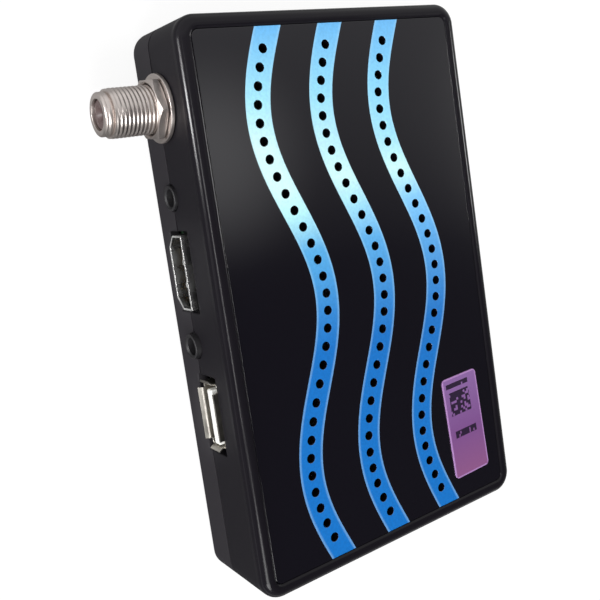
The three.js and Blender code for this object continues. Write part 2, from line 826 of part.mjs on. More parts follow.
function dataShell() {
  const outline = roundedRectangle(dataWidth, dataHeight, dataSheet);
  const opening = roundedRectangle(dataWidth - 2 * dataSheet, dataHeight - 2 * dataSheet,
    dataSheet / 2);
  const outer = along(outline, dataRear, dataTube + dataSheet / 8, 1);
  const inner = along(opening, dataRear - overrun, dataTube + overrun, 1);
  const lips = [];
  for (const side of [-1, 1]) {
    const flare = side > 0 ? dataTopFlare : dataBottomFlare;
    const flat = solidOf(flaredLip(dataLipFlatLength, flare)).rotate([0, -side * 90, 0]);
    lips.push(flat.translate([0, dataTube, (side * dataHeight) / 2]));
    const upright = side > 0 ? flaredLip(dataLipSideLength, dataSideFlare)
      : flaredLip(dataLipSideLength, dataSideFlare).rotateY(Math.PI);
    lips.push(solidOf(upright).translate([(side * dataWidth) / 2, dataTube, 0]));
  }
  const tube = joined([outer.subtract(inner), ...lips]).translate([dataX, 0, dataZ]);
  return joined([tube, ...socketLegs(dataX, dataWidth / 2, dataSheet, dataZ)]);
}

const tongueTop = dataZ + dataHeight / 2 - dataSheet - dataTongueDrop;
const tongueLow = tongueTop - dataTongueHeight;
const dataTongueFront = dataFront - dataTongueRecess;

function dataInsert() {
  const width = dataWidth - 2 * dataSheet - 2 * fit;
  const back = dataRear - seat - dataBackDepth / 2;
  const baseHigh = dataZ - dataHeight / 2 - fit;
  const baseBack = dataRear - 2 * seat;
  const baseFront = innerFace - fit;
  return joined([
    block(dataTongueWidth, dataTongueFront - dataRear + 2 * seat, dataX,
      (dataTongueFront + dataRear - 2 * seat) / 2, tongueLow, tongueTop),
    block(width, dataBackDepth, dataX, back, boardTop + seat, tongueTop),
    block(width, baseFront - baseBack, dataX, (baseFront + baseBack) / 2, boardTop + seat, baseHigh),
  ]);
}

function dataContact() {
  const yHigh = dataTongueFront - dataContactRecess;
  return block(dataContactWidth, dataContactLength, 0, yHigh - dataContactLength / 2,
    tongueLow - seat - dataContactThickness, tongueLow - seat);
}

// A round jack: a box on the board with a barrel that passes through the case's side.
function jackBody(x, width, depth, reach) {
  const front = innerFace - fit;
  const low = boardTop + seat;
  const box = block(width, depth, x, front - depth / 2, low, low + jackHeight);
  const barrel = rodAlong(jackBarrelDiameter, x, jackZ, front - seat, sideFace + reach);
  const bore = rodAlong(jackBoreDiameter, x, jackZ, front - depth + jackBackWall,
    sideFace + reach + overrun);
  return box.add(barrel).subtract(bore);
}

function powerInlet() {
  const rear = innerFace - fit - powerDepth;
  const hole = rodAlong(powerPinDiameter + 2 * seat, powerX, jackZ, rear - overrun,
    rear + jackBackWall + overrun, boreSides);
  return jackBody(powerX, powerWidth, powerDepth, powerReach).subtract(hole);
}

function powerPin() {
  const rear = innerFace - fit - powerDepth;
  const tip = sideFace + powerReach - powerPinRecess;
  const radius = powerPinDiameter / 2;
  return turned([[0, rear - powerPinTail], [radius, rear - powerPinTail], [radius, tip - radius],
    [radius / 2, tip], [0, tip]], boreSides);
}

function tunerCan() {
  const low = boardTop + seat;
  const high = boardTop + canHeight;
  const middle = (canBack + canFront) / 2;
  const outer = block(canWidth, canDepth, canX, middle, low, high);
  const inner = block(canWidth - 2 * canSheet, canDepth - 2 * canSheet, canX, middle,
    low - overrun, high + overrun);
  const divider = block(canWidth - canSheet, canSheet, canX, canBack + canDepth * canDividerShare,
    low + tunerChipHeight, high);
  const stubHole = rodAlong(stubDiameter + 2 * fit, socketX, socketZ, canFront - 2 * canSheet,
    canFront + overrun);
  return cut(outer.subtract(inner).add(divider), [stubHole]);
}

function tunerLid() {
  const skin = canWidth + 2 * (canSheet + fit);
  const skinDepth = canDepth + 2 * (canSheet + fit);
  const middle = canBack + canDepth / 2;
  const low = boardTop + canHeight + seat;
  const outer = block(skin, skinDepth, canX, middle, low - lidSkirt, low + canSheet);
  const inner = block(skin - 2 * canSheet, skinDepth - 2 * canSheet, canX, middle,
    low - lidSkirt - overrun, low);
  const holes = [];
  for (let i = 0; i < lidHoleCount; i += 1) {
    const y = middle + lidHolePitch * (i - (lidHoleCount - 1) / 2);
    holes.push(uprightRod(lidHoleDiameter, canX, y, low - overrun, low + canSheet + overrun,
      boreSides));
  }
  const stubNotch = rodAlong(stubDiameter + 2 * fit, socketX, socketZ, middle,
    middle + skinDepth);
  return cut(outer.subtract(inner), [...holes, stubNotch]);
}

function chip(length, width, height) {
  const dimple = uprightRod(dimpleDiameter, dimpleInset - length / 2, width / 2 - dimpleInset,
    height - dimpleDepth, height + overrun, boreSides);
  return block(length, width, 0, 0, 0, height).subtract(dimple);
}

function heatSink() {
  const fins = [];
  const pitch = (sinkSize - finThickness) / (finCount - 1);
  for (let i = 0; i < finCount; i += 1) {
    const y = pitch * (i - (finCount - 1) / 2);
    fins.push(block(sinkSize, finThickness, 0, y, sinkBase / 2, sinkHeight));
  }
  return joined([block(sinkSize, sinkSize, 0, 0, 0, sinkBase), ...fins]);
}

function crystalCan() {
  return upright(roundedRectangle(crystalLength, crystalWidth, crystalWidth / 2), 0,
    crystalHeight);
}

function powerCoil() {
  const base = coilHeight - coilDrumDrop;
  const body = upright(roundedRectangle(coilSize, coilSize, coilSize / 6), 0, base, 1);
  return body.add(uprightRod(coilDrumDiameter, 0, 0, base - coilDrumDrop, coilHeight));
}

function canister() {
  const radius = canisterDiameter / 2;
  const waist = radius - canisterWaist;
  const base = canisterBase;
  return turned([[0, 0], [radius, 0], [radius, base], [waist, base + canisterWaist],
    [radius, base + 2 * canisterWaist], [radius, canisterHeight - canisterWaist],
    [waist, canisterHeight], [0, canisterHeight]], rodSides).rotate([90, 0, 0]);
}

function windowCut() {
  const shape = roundedRectangle(windowLength, windowHeight, openingCorner, windowX, windowZ);
  return along(shape, -sideFace - overrun, -innerFace + overrun, 2);
}

function darkWindow() {
  const plateShape = roundedRectangle(windowLength - 2 * fit, windowHeight - 2 * fit,
    openingCorner, windowX, windowZ);
  const flangeShape = roundedRectangle(windowLength + 2 * windowFlange,
    windowHeight + 2 * windowFlange, openingCorner, windowX, windowZ);
  const plate = along(plateShape, windowSet - sideFace, -innerFace + seat * 2, 2);
  const flange = along(flangeShape, seat - innerFace, -windowInside, 2);
  return plate.add(flange);
}

// Leads from a component behind the window down to the board.
function boardLeads(count, y, zHigh) {
  const leads = [];
  for (let i = 0; i < count; i += 1) {
    const x = leadPitch * (i - (count - 1) / 2);
    leads.push(block(leadWidth, leadWidth, x, y, boardTop + seat, zHigh));
  }
  return leads;
}

const eyeFront = eyeToWindow - windowInside;

function remoteEye() {
  const low = windowZ - eyeHeight / 2;
  const lensRadius = eyeLensRadius;
  const back = eyeFront + lensRadius;
  const body = block(eyeWidth, eyeThickness, 0, back + eyeThickness / 2, low, low + eyeHeight);
  const lens = uprightRod(2 * lensRadius, 0, back, low + lensRadius / 2, windowZ + lensRadius);
  return joined([body, lens, ...boardLeads(3, back + eyeThickness / 2, windowZ)]);
}

function statusLamp() {
  const radius = lampDiameter / 2;
  const rear = eyeFront + lampLength;
  const rim = radius + lampFlange / 2;
  const dome = [[0, 0]];
  for (let step = 1; step <= edgeSteps; step += 1) {
    const angle = (Math.PI / 2) * (step / edgeSteps);
    dome.push([radius * Math.sin(angle), radius * (1 - Math.cos(angle))]);
  }
  const body = turned([...dome, [radius, lampLength - lampFlange], [rim, lampLength - lampFlange],
    [rim, lampLength], [0, lampLength]], boreSides).translate([0, eyeFront, windowZ]);
  return joined([body, ...boardLeads(2, rear, windowZ + leadWidth / 2)]);
}

// Finishes.
function finish(color, roughness, metalness = 0) {
  return { color, roughness, metalness };
}

const blackShell = finish(0x17171a, 0.42);
const glossBlack = finish(0x0c0c0f, 0.12);
const blackResin = finish(0x1b1b1d, 0.6);
const darkRubber = finish(0x141414, 0.85);
const nickel = finish(0xc9c6c2, 0.25, 1);
const steel = finish(0xb8bab8, 0.32, 1);
const tinPlate = finish(0xc3c5c4, 0.38, 1);
const gold = finish(0xd2a650, 0.3, 1);
const aluminium = finish(0xaeb0b3, 0.4, 1);
const whiteResin = finish(0xe6e4de, 0.5);
const boardGreen = finish(0x1d5a34, 0.45);
const ferrite = finish(0x3a3a3c, 0.6);
const sleeveBlue = finish(0x2a2f55, 0.4);
const paperPurple = finish(0x9a6fb2, 0.45);
const smokedLens = finish(0x180c10, 0.08);
const clearResin = finish(0xd8dcd8, 0.15);
const insulatorBrown = finish(0x4a4140, 0.55);

const receiver = new THREE.Group();
receiver.position.y = -socketReach / 2;

function add(name, solid, look, x = 0, y = 0, z = 0) {
  const mesh = new THREE.Mesh(geometryOf(solid), new THREE.MeshStandardMaterial(look));
  mesh.name = name;
  mesh.position.set(x, y, z);
  receiver.add(mesh);
  return mesh;
}

function addAtShare(name, solid, look, [shareX, shareY], z = boardTop + seat) {
  return add(name, solid, look, shareX * caseLength, shareY * caseWidth, z);
}

// Case.
add("lower_shell", lowerShell(), blackShell);
add("upper_shell", upperShell(), blackShell);
add("top_panel", topPanel(), glossBlack);
const label = add("panel_label", panelLabel(), paperPurple, labelX, labelY, panelTop + labelGlue);
label.rotation.z = labelTilt;
add("ir_window", darkWindow(), smokedLens);
bossPlaces.forEach(([x, y], i) => {
  const caseScrew = screw(screwHeadDiameter, screwHeadHeight, screwDiameter, screwLength);
  const mesh = add(`case_screw_${i + 1}`, caseScrew, steel, x, y, pocketTop - seat);
  mesh.rotation.x = Math.PI;
});
footPlaces.forEach(([x, y], i) => {
  add(`rubber_foot_${i + 1}`, rubberFoot(), darkRubber, x, y, 0);
});

// Board and what it carries.
add("main_board", mainBoard(), boardGreen);
standoffPlaces.forEach(([x, y], i) => {
  const boardScrew = screw(boardScrewHeadDiameter, boardScrewHeadHeight, boardScrewDiameter,
    boardScrewLength);
  add(`board_screw_${i + 1}`, boardScrew, steel, x, y, boardTop + seat);
});
const mainChip = chip(mainChipSize, mainChipSize, mainChipHeight);
addAtShare("main_chip", mainChip, blackResin, mainChipShare);
const sinkZ = boardTop + mainChipHeight + 2 * seat;
addAtShare("heat_sink", heatSink(), aluminium, mainChipShare, sinkZ);
addAtShare("memory_chip", chip(memoryLength, memoryWidth, memoryHeight), blackResin, memoryShare);
addAtShare("flash_chip", chip(flashLength, flashWidth, flashHeight), blackResin, flashShare);
const regulator = chip(regulatorSize, regulatorSize, regulatorHeight);
addAtShare("lnb_regulator", regulator, blackResin, regulatorShare);
addAtShare("clock_crystal", crystalCan(), tinPlate, crystalShare);
for (let i = 0; i < 2; i += 1) {
  const x = powerX - coilShift - coilSpacing * (1 - i);
  add(`power_coil_${i + 1}`, powerCoil(), ferrite, x, coilWidthShare * caseWidth, boardTop + seat);
}
canisterWidthShares.forEach((share, i) => {
  addAtShare(`capacitor_${i + 1}`, canister(), sleeveBlue, [canisterLengthShare, share]);
});
canisterByCanShares.forEach((share, i) => {
  const x = lidEdge - canisterGap - canisterDiameter / 2;
  add(`capacitor_${i + 3}`, canister(), sleeveBlue, x, share * caseWidth, boardTop + seat);
});
add("ir_receiver", remoteEye(), blackResin, windowX + eyeX);
add("status_led", statusLamp(), clearResin, windowX + lampX);

// Tuner can.
add("tuner_can", tunerCan(), tinPlate);
add("tuner_lid", tunerLid(), tinPlate);
const tunerChip = chip(tunerChipSize, tunerChipSize, tunerChipHeight);
add("tuner_chip", tunerChip, blackResin, canX, canBack + canDepth / 4, boardTop + seat);

// Antenna socket.
const washerY = sideFace + seat;
const nutY = washerY + washerThickness + seat;
add("antenna_socket", socketBody(), nickel, socketX, sideFace, socketZ);
add("socket_insulator", socketInsulator(), insulatorBrown, socketX, sideFace, socketZ);
add("socket_contact", socketContact(), gold, socketX, sideFace, socketZ);
add("lock_washer", lockWasher(), nickel, socketX, washerY, socketZ);
add("hex_nut", hexNut(), nickel, socketX, nutY, socketZ);

// Video, data, power and outlet sockets.
add("video_socket_shell", videoShell(), steel);
add("video_socket_insert", videoInsert(), blackResin);
add("data_socket_shell", dataShell(), steel);
add("data_socket_insert", dataInsert(), whiteResin);
for (let i = 0; i < dataContactCount; i += 1) {
  const x = dataX + dataContactPitch * (i - (dataContactCount - 1) / 2);
  add(`data_contact_${i + 1}`, dataContact(), gold, x);
}
add("power_inlet", powerInlet(), blackResin);
add("power_pin", powerPin(), nickel, powerX, 0, jackZ);
add("av_jack", jackBody(outletX, outletWidth, outletDepth, outletReach), blackResin);

export default receiver;
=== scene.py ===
"""A compact satellite television receiver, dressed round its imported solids.

All lengths are in metres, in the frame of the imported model: +X runs along the case, +Y points out
of its connector side and +Z points up through the perforated top.
"""

import math

import bmesh
import bpy
import numpy as np
from mathutils import Euler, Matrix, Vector


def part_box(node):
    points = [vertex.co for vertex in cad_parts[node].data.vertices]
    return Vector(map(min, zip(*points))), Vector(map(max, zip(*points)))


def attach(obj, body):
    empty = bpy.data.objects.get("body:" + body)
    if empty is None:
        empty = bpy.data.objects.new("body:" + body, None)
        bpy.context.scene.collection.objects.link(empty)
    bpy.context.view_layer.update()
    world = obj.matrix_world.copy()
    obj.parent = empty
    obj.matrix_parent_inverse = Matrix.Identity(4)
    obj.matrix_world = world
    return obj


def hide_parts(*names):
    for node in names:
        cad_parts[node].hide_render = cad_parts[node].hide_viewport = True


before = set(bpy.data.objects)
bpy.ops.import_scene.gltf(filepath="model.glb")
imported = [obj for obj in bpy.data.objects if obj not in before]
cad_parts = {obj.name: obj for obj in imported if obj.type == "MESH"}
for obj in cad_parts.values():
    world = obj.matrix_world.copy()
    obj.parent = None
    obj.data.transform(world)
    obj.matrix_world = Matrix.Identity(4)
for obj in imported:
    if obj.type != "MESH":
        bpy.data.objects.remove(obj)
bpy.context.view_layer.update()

bl_info = {
    "name": "Satellite receiver",
    "version": (1, 0, 0),
    "blender": (4, 5, 0),
    "location": "3D View > Sidebar > Receiver",
    "description": "Makes the pieces of a compact satellite receiver round its packed solids",
    "category": "Object",
}

MM = 0.001
MERGE = 1e-7  # distance under which two points are one
OVER = 1.0 * MM  # by which a cutting shape passes what it cuts
SEAT = 0.12 * MM  # under a piece that rests on another
FIT = 0.3 * MM  # between a piece and its opening
PANEL_GAP = 0.08 * MM  # round the gloss panel

# Case.
WALL = 2.0 * MM
FLOOR = 2.0 * MM
DECK = 1.6 * MM
CORNER = 4.5 * MM
BASE_RADIUS = 0.9 * MM
LIP_HEIGHT = 1.2 * MM
LIP_THICKNESS = 0.8 * MM
PARTING_GAP = 0.5 * MM
PARTING_ROUND = 0.06 * MM
PANEL_THICKNESS = 1.0 * MM
OPENING_CHAMFER = 0.2 * MM
CORNER_STEPS = 14
EDGE_STEPS = 12

# Rows of holes.
BANDS = 3
BAND_SHIFT = 0.13 * MM
HOLES_PER_SIDE = 14
HOLE_SIDES = 28
SLOT_WIDTH = 3.6 * MM
SLOT_BRIDGE = 1.3 * MM
SLOTS_PER_BAND = 4

# Underside.
FOOT_RADIUS = 4.0 * MM
FOOT_RECESS = 0.6 * MM
BOSS_INSET = 5.85 * MM
BOSS_RADIUS = 3.4 * MM
POST_RADIUS = 3.1 * MM
BOSS_DROP = 1.0 * MM
HEAD_RADIUS = 2.5 * MM
HEAD_HEIGHT = 1.7 * MM
SHANK_RADIUS = 1.3 * MM
SHANK_LENGTH = 11.0 * MM
POCKET_DEPTH = 3.2 * MM
POCKET_CHAMFER = 0.25 * MM
VENTS = 6
VENT_LENGTH = 24.0 * MM
VENT_WIDTH = 2.2 * MM
VENT_PITCH = 5.2 * MM
VENT_MIDDLE = 18.0 * MM
STANDOFF_RADIUS = 3.0 * MM
STANDOFF_HEIGHT = 3.28 * MM
STANDOFF_BORE = 1.4 * MM

# Connector side: middles along X and heights above the surface that the feet stand on.
VIDEO_X, VIDEO_Z = 8.6 * MM, 9.0 * MM
VIDEO_WINDOW = (16.2 * MM, 8.0 * MM)
DATA_X, DATA_Z = -20.05 * MM, 11.6 * MM
DATA_WINDOW = (15.8 * MM, 7.4 * MM)
DATA_WINDOW_Z = 11.3 * MM
POWER_X, OUTLET_X, JACK_Z = 23.3 * MM, -6.3 * MM, 8.7 * MM
JACK_WINDOW = 5.3 * MM
ANTENNA_WINDOW = 10.2 * MM
WINDOW_CORNER = 0.4 * MM

# Window in the far side.
REMOTE_X, REMOTE_Z = -19.0 * MM, 13.7 * MM
REMOTE_SIZE = (22.0 * MM, 5.2 * MM)

# Stage.
FLOOR_HALF = 4.0
FLOOR_COLOUR = (0.15, 0.15, 0.15, 1.0)
FLOOR_LEVEL = 0.88  # of white, as the floor shows to the eye and in reflections
FILL_LEVEL = 0.45  # of the world's plain light on the object
# Lamps: name, place, width and height, and watts.
LAMP_TARGET = Vector((0.0, 0.02, 0.015))
LAMPS = (
    ("key light", (-0.60, 0.36, 0.66), (0.40, 0.40), 5.0),
    ("low window", (0.084, 0.72, 0.125), (0.06, 0.20), 3.0),
    ("high strip", (-0.10, 0.54, 0.66), (0.38, 0.10), 1.3),
    ("rear window", (0.02, -0.80, 0.58), (0.24, 0.09), 1.7),
)
# Middles and half widths, in millimetres, of the white patches painted into the floor's reflections
# before the video and data sockets.
REFLECTED_PATCHES = (((7.3, 32.0), (8.6, 2.4)), ((-24.0, 33.0), (8.0, 2.4)))


def linear(hex_colour):
    """Turns an sRGB hex colour into linear values, with an alpha of one."""
    channels = np.array([int(hex_colour[i : i + 2], 16) for i in (1, 3, 5)]) / 255
    low, high = channels / 12.92, ((channels + 0.055) / 1.055) ** 2.4
    return (*np.where(channels <= 0.04045, low, high), 1.0)


def size(name, words, millimetres):
    """A length that can be set in the sidebar."""
    return bpy.props.FloatProperty(
        name=name, description=words, default=millimetres * MM, min=0.0, unit="LENGTH", precision=5)


def colour(name, words, hex_colour):
    """A colour that can be set in the sidebar, written as sRGB hex."""
    return bpy.props.FloatVectorProperty(
        name=name, description=words, default=linear(hex_colour), size=4, min=0.0, max=1.0,
        subtype="COLOR")


class ReceiverSizes(bpy.types.PropertyGroup):
    """Lengths of the receiver that a user would change."""

    edge_radius: size("Rim radius", "Round edge along the top of the rim", 2.0)
    rim_width: size("Rim width", "From the case's side to the gloss panel", 3.0)
    rim_chamfer: size("Rim chamfer", "Sloped inner edge of the rim", 0.6)
    panel_drop: size("Panel drop", "Depth of the gloss panel below the rim", 0.4)
    hole_diameter: size("Hole diameter", "Air holes in the gloss panel", 1.85)
    hole_pitch: size("Hole pitch", "Distance along X between two air holes", 3.5)
    band_spacing: size("Band spacing", "Distance between the rows of holes", 14.67)
    wave_height: size("Wave height", "Half of each row's sideways swing", 4.75)
    wave_period: size("Wave period", "Length of one full wave", 70.8)
    stripe_width: size("Stripe width", "Printed stripe round each row of holes", 5.5)
    thread_pitch: size("Thread pitch", "Advance of the antenna thread in one turn", 0.794)
    thread_depth: size("Thread depth", "From the crest to the root of the thread", 0.11)


class ReceiverColours(bpy.types.PropertyGroup):
    """Colours of the receiver that a user would change."""

    upper_case: colour("Upper case", "Black plastic of the upper shell", "#17151a")
    lower_case: colour("Lower case", "Charcoal plastic of the lower shell", "#2b292d")
    panel: colour("Panel", "Gloss sheet in the top", "#0f0d15")
    wave_top: colour("Wave, antenna end", "Stripes near the antenna socket", "#62b8f6")
    # The pale part of the stripes is a painted sheen of reflected light, not a colour of the print.
    wave_painted_sheen: colour("Wave, pale part", "Stripes where they turn pale", "#d8ffff")
    wave_deep: colour("Wave, far end", "Stripes towards the far end", "#0072c8")
    sticker: colour("Sticker", "Face of the blank sticker", "#784a87")
    sticker_edge: colour("Sticker edge", "Pale border of the sticker", "#a97eb8")
    ink: colour("Ink", "Bars and blocks on the sticker", "#241030")


# Shapes, as arrays of points.


def rectangle(width, height, x=0.0, y=0.0):
    """Corners of a rectangle about (x, y), anticlockwise."""
    signs = np.array([[-1, -1], [1, -1], [1, 1], [-1, 1]]) / 2
    return signs * [width, height] + [x, y]


def rounded(corners, radius, steps=6):
    """A convex outline with round corners.

    Each corner gives way to an arc that touches both sides: it starts at the corner less
    radius * tan(turn / 2) along the side, and turns about a centre one radius inside it.
    """
    corners = np.asarray(corners, float)
    ahead = np.roll(corners, -1, axis=0) - corners
    ahead /= np.linalg.norm(ahead, axis=1, keepdims=True)
    before = np.roll(ahead, 1, axis=0)
    cross = before[:, 0] * ahead[:, 1] - before[:, 1] * ahead[:, 0]
    turn = np.arctan2(cross, (before * ahead).sum(axis=1))[:, None]
    inward = np.stack([-before[:, 1], before[:, 0]], axis=1)
    centre = corners - before * radius * np.tan(turn / 2) + inward * radius
    part = turn * np.linspace(0, 1, steps + 1)
    x = centre[:, :1] - radius * (inward[:, :1] * np.cos(part) - inward[:, 1:] * np.sin(part))
    y = centre[:, 1:] - radius * (inward[:, :1] * np.sin(part) + inward[:, 1:] * np.cos(part))
    return np.stack([x.ravel(), y.ravel()], axis=1)


def circle(radius, sides, x=0.0, y=0.0):
    """Points of a circle: radius times the cosine and sine of equal turns."""
    turn = 2 * np.pi * np.arange(sides) / sides
    return np.stack([x + radius * np.cos(turn), y + radius * np.sin(turn)], axis=1)


def arc(radius, start, end, steps, x=0.0, y=0.0):
    """Points of a circle's arc about (x, y), from one angle to another in degrees."""
    turn = np.radians(np.linspace(start, end, steps + 1))
    return [x, y] + radius * np.stack([np.cos(turn), np.sin(turn)], axis=1)


def upright(outline, z):
    """A ring at height z from an outline in X and Y."""
    return np.column_stack([outline, np.full(len(outline), z)])


def facing(outline, y):
    """A ring at depth y from an outline in X and Z, turned to run anticlockwise about Y."""
    flipped = np.asarray(outline)[::-1]
    return np.column_stack([flipped[:, 0], np.full(len(flipped), y), flipped[:, 1]])


def loft(rings, ends="capped"):
    """Points and faces of a skin through rings of equal count.

    Point (i, j) joins (i, j + 1), (i + 1, j + 1) and (i + 1, j). The first and last ring are
    closed by a face each, or joined to each other.
    """
    rings = np.asarray(rings, float)
    index = np.arange(rings.shape[0] * rings.shape[1]).reshape(rings.shape[:2])
    low = index if ends == "joined" else index[:-1]
    high = np.roll(index, -1, axis=0) if ends == "joined" else index[1:]
    quads = np.stack([low, np.roll(low, -1, axis=1), np.roll(high, -1, axis=1), high], axis=-1)
    faces = quads.reshape(-1, 4).tolist()
    if ends == "capped":
        faces += [index[0, ::-1].tolist(), index[-1].tolist()]
    return rings.reshape(-1, 3), faces


def turned(profile, sides, centre, ends="capped"):
    """A turned shape about a line along Y, from [radius, depth] pairs.

    Its points are radius * (sin, cos) of the turn in X and Z. A radius or depth may also be a
    row of values, one for each side.
    """
    turn = 2 * np.pi * np.arange(sides) / sides
    around = np.stack([np.sin(turn), np.zeros(sides), np.cos(turn)], axis=1)
    rows = [[np.broadcast_to(v, sides)[:, None] for v in pair] for pair in profile]
    rings = [radius * around + [0, 1, 0] * depth for radius, depth in rows]
    return loft(np.array(rings) + np.asarray(centre), ends)


def posts(places, sides, *profile):
    """Upright turned shapes at several places, from [radius, height] pairs.

    A radius may be a row of values, one for each side.
    """
    return [loft([upright(circle(radius, sides, x, y), z) for radius, z in profile])
        for x, y in places]


def slab(low, high, soft=0.0):
    """A block between two corners, with its upright edges rounded."""
    low, high = np.asarray(low, float), np.asarray(high, float)
    span, middle = high - low, (low + high) / 2
    corners = rectangle(span[0], span[1], middle[0], middle[1])
    outline = rounded(corners, soft, 3) if soft else corners
    return loft([upright(outline, low[2]), upright(outline, high[2])])


def sweep(path, outline, side):
    """Carries an outline along a path that lies in the plane square to side.

    Each ring is the path's point, plus the outline's first value along side and its second along
    tangent x side.
    """
    path, side = np.asarray(path, float), np.asarray(side, float)
    tangent = np.gradient(path, axis=0)
    tangent /= np.linalg.norm(tangent, axis=1, keepdims=True)
    up = np.cross(tangent, side)
    return loft(path[:, None] + outline[None, :, :1] * side + outline[None, :, 1:] * up[:, None])


def tongue_shape(width, height, x, z, root, tip, radii, steps):
    """A flat tongue from its root to its tip, where it slopes in by 0.2 mm all round.

    The radii are those of the corners before and after the slope.
    """
    slope = 0.2 * MM
    blade = rounded(rectangle(width, height, x, z), radii[0], steps)
    nose = rounded(rectangle(width - 2 * slope, height - 2 * slope, x, z), radii[1], steps)
    return loft([facing(blade, root), facing(blade, tip - slope), facing(nose, tip)])


def both(shapes):
    """Joins several shapes, each points and faces, in one."""
    starts = np.cumsum([0] + [len(points) for points, _ in shapes])
    faces = [[i + start for i in f] for (_, fs), start in zip(shapes, starts) for f in fs]
    return np.vstack([points for points, _ in shapes]), faces


def move(shape, by, turn):
    """A shape turned by a matrix and then moved."""
    points, faces = shape
    return points @ turn + np.asarray(by), faces


def new_object(name, shape):
    """A mesh object with a shape's points and faces, and doubled points merged."""
    points, faces = shape
    mesh = bpy.data.meshes.new(name)
    mesh.from_pydata(points.tolist(), [], faces)
    work = bmesh.new()
    work.from_mesh(mesh)
    bmesh.ops.remove_doubles(work, verts=work.verts, dist=MERGE)
    work.to_mesh(mesh)
    work.free()
    made = bpy.data.objects.new(name, mesh)
    bpy.context.scene.collection.objects.link(made)
    return made


def combine(piece, shapes, operation):
    """Cuts shapes from a piece or adds them to it, and keeps the result as its mesh."""
    tool = new_object("tool", both(shapes))
    change = piece.modifiers.new("change", "BOOLEAN")
    change.operation = operation
    change.solver = "EXACT"
    change.object = tool
    graph = bpy.context.evaluated_depsgraph_get()
    result = bpy.data.meshes.new_from_object(piece.evaluated_get(graph))
    if len(result.polygons) == 0:
        raise RuntimeError(f"{piece.name}: nothing is left of it")
    piece.modifiers.remove(change)
    before, piece.data = piece.data, result
    bpy.data.meshes.remove(before)
    bpy.data.meshes.remove(tool.data)
    result.name = piece.name


def complete(piece, material, slot, *nodes, body="receiver", sharp=32.0):
    """Gives a piece its material, smooth round parts with crisp edges and its body; its slot is not
    used.
    """
    piece.data.materials.clear()
    piece.data.materials.append(material)
    piece.data.shade_smooth()
    piece.data.set_sharp_from_angle(angle=math.radians(sharp))
    even = piece.modifiers.new("even shading", "WEIGHTED_NORMAL")
    even.keep_sharp = True
    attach(piece, body)
    if nodes:
        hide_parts(*nodes)


# Case geometry shared by several pieces.


def middle_of(node):
    """Middle of a node's box."""
    low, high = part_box(node)
    return (low + high) / 2


def case_box():
    """Half sizes, middle in Y, connector face and heights of the case."""
    upper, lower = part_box("upper_shell"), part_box("lower_shell")
    half_y, middle = (upper[1].y - upper[0].y) / 2, (upper[1].y + upper[0].y) / 2
    parting = lower[1].z - LIP_HEIGHT
    return {
        "half_x": (upper[1].x - upper[0].x) / 2,
        "half_y": half_y,
        "y": middle,
        "face": middle + half_y,
        "underside": lower[0].z,
        "lip_top": lower[1].z,
        "parting_low": parting - PARTING_GAP / 2,
        "parting_high": parting + PARTING_GAP / 2,
        "boss_top": parting - BOSS_DROP,
        "top": upper[1].z,
    }


def case_ring(inset, z):
    """The case's outline drawn in by an inset, at height z: four quarter circles."""
    case = case_box()
    turn = np.linspace(0, np.pi / 2, CORNER_STEPS + 1)
    angle = (np.arange(4)[:, None] * np.pi / 2 + turn).ravel()
    sign_x = np.repeat([1, -1, -1, 1], CORNER_STEPS + 1)
    sign_y = np.repeat([1, 1, -1, -1], CORNER_STEPS + 1)
    radius = CORNER - inset
    x = sign_x * (case["half_x"] - CORNER) + radius * np.cos(angle)
    y = sign_y * (case["half_y"] - CORNER) + radius * np.sin(angle)
    return np.column_stack([x, y + case["y"], np.full(len(x), z)])


def boss_places():
    """The four places of the screw bosses, near the case's corners."""
    case = case_box()
    x, y = case["half_x"] - BOSS_INSET, case["half_y"] - BOSS_INSET
    return [(sx * x, case["y"] + sy * y) for sx, sy in ((1, 1), (-1, 1), (-1, -1), (1, -1))]


def wave_point(band, x, side, sizes):
    """Points beside a row's middle line.

    The line is y = shift + band * spacing - height * cos(2 pi x / period), and side is the
    distance square to it.
    """
    turn = 2 * np.pi / sizes.wave_period
    slope = sizes.wave_height * turn * np.sin(turn * x)
    length = np.hypot(1, slope)
    middle = BAND_SHIFT + band * sizes.band_spacing + case_box()["y"]
    y = middle - sizes.wave_height * np.cos(turn * x)
    return np.stack([x - side * slope / length, y + side / length], axis=1)


def bands():
    """Numbers of the rows, with the middle one at zero."""
    return np.arange(BANDS) - (BANDS - 1) / 2


def hole_x(sizes):
    """Places of a row's holes along X."""
    return sizes.hole_pitch * np.arange(-HOLES_PER_SIDE, HOLES_PER_SIDE + 1)


def window(span, x, z, steps):
    """A cutting shape for a window with round corners, from [growth, depth] pairs."""
    return loft([
        facing(rounded(rectangle(span[0] + 2 * g, span[1] + 2 * g, x, z), WINDOW_CORNER + g), y)
        for g, y in steps])


def side_openings():
    """Cutting shapes for the connector side, with a small chamfer at the case's face."""
    face = case_box()["face"]
    steps = [(0.0, face - WALL - OVER), (0.0, face - OPENING_CHAMFER),
        (OVER + OPENING_CHAMFER, face + OVER)]
    socket = middle_of("antenna_socket")
    holes = [
        loft([facing(circle(width / 2 + g, sides, x, z), y) for g, y in steps])
        for width, x, z, sides in (
            (ANTENNA_WINDOW, socket.x, socket.z, 64), (JACK_WINDOW, POWER_X, JACK_Z, 40),
            (JACK_WINDOW, OUTLET_X, JACK_Z, 40))
    ]
    return [window(VIDEO_WINDOW, VIDEO_X, VIDEO_Z, steps),
        window(DATA_WINDOW, DATA_X, DATA_WINDOW_Z, steps), *holes]


# Materials. Scales are in features per metre, from real sizes in millimetres.


# Sockets of a Mix node, whose names repeat: its share, two colours and their mix, two values.
SHARE, COLOUR_A, COLOUR_B, MIXED, VALUE_A, VALUE_B = 0, 6, 7, 2, 2, 3


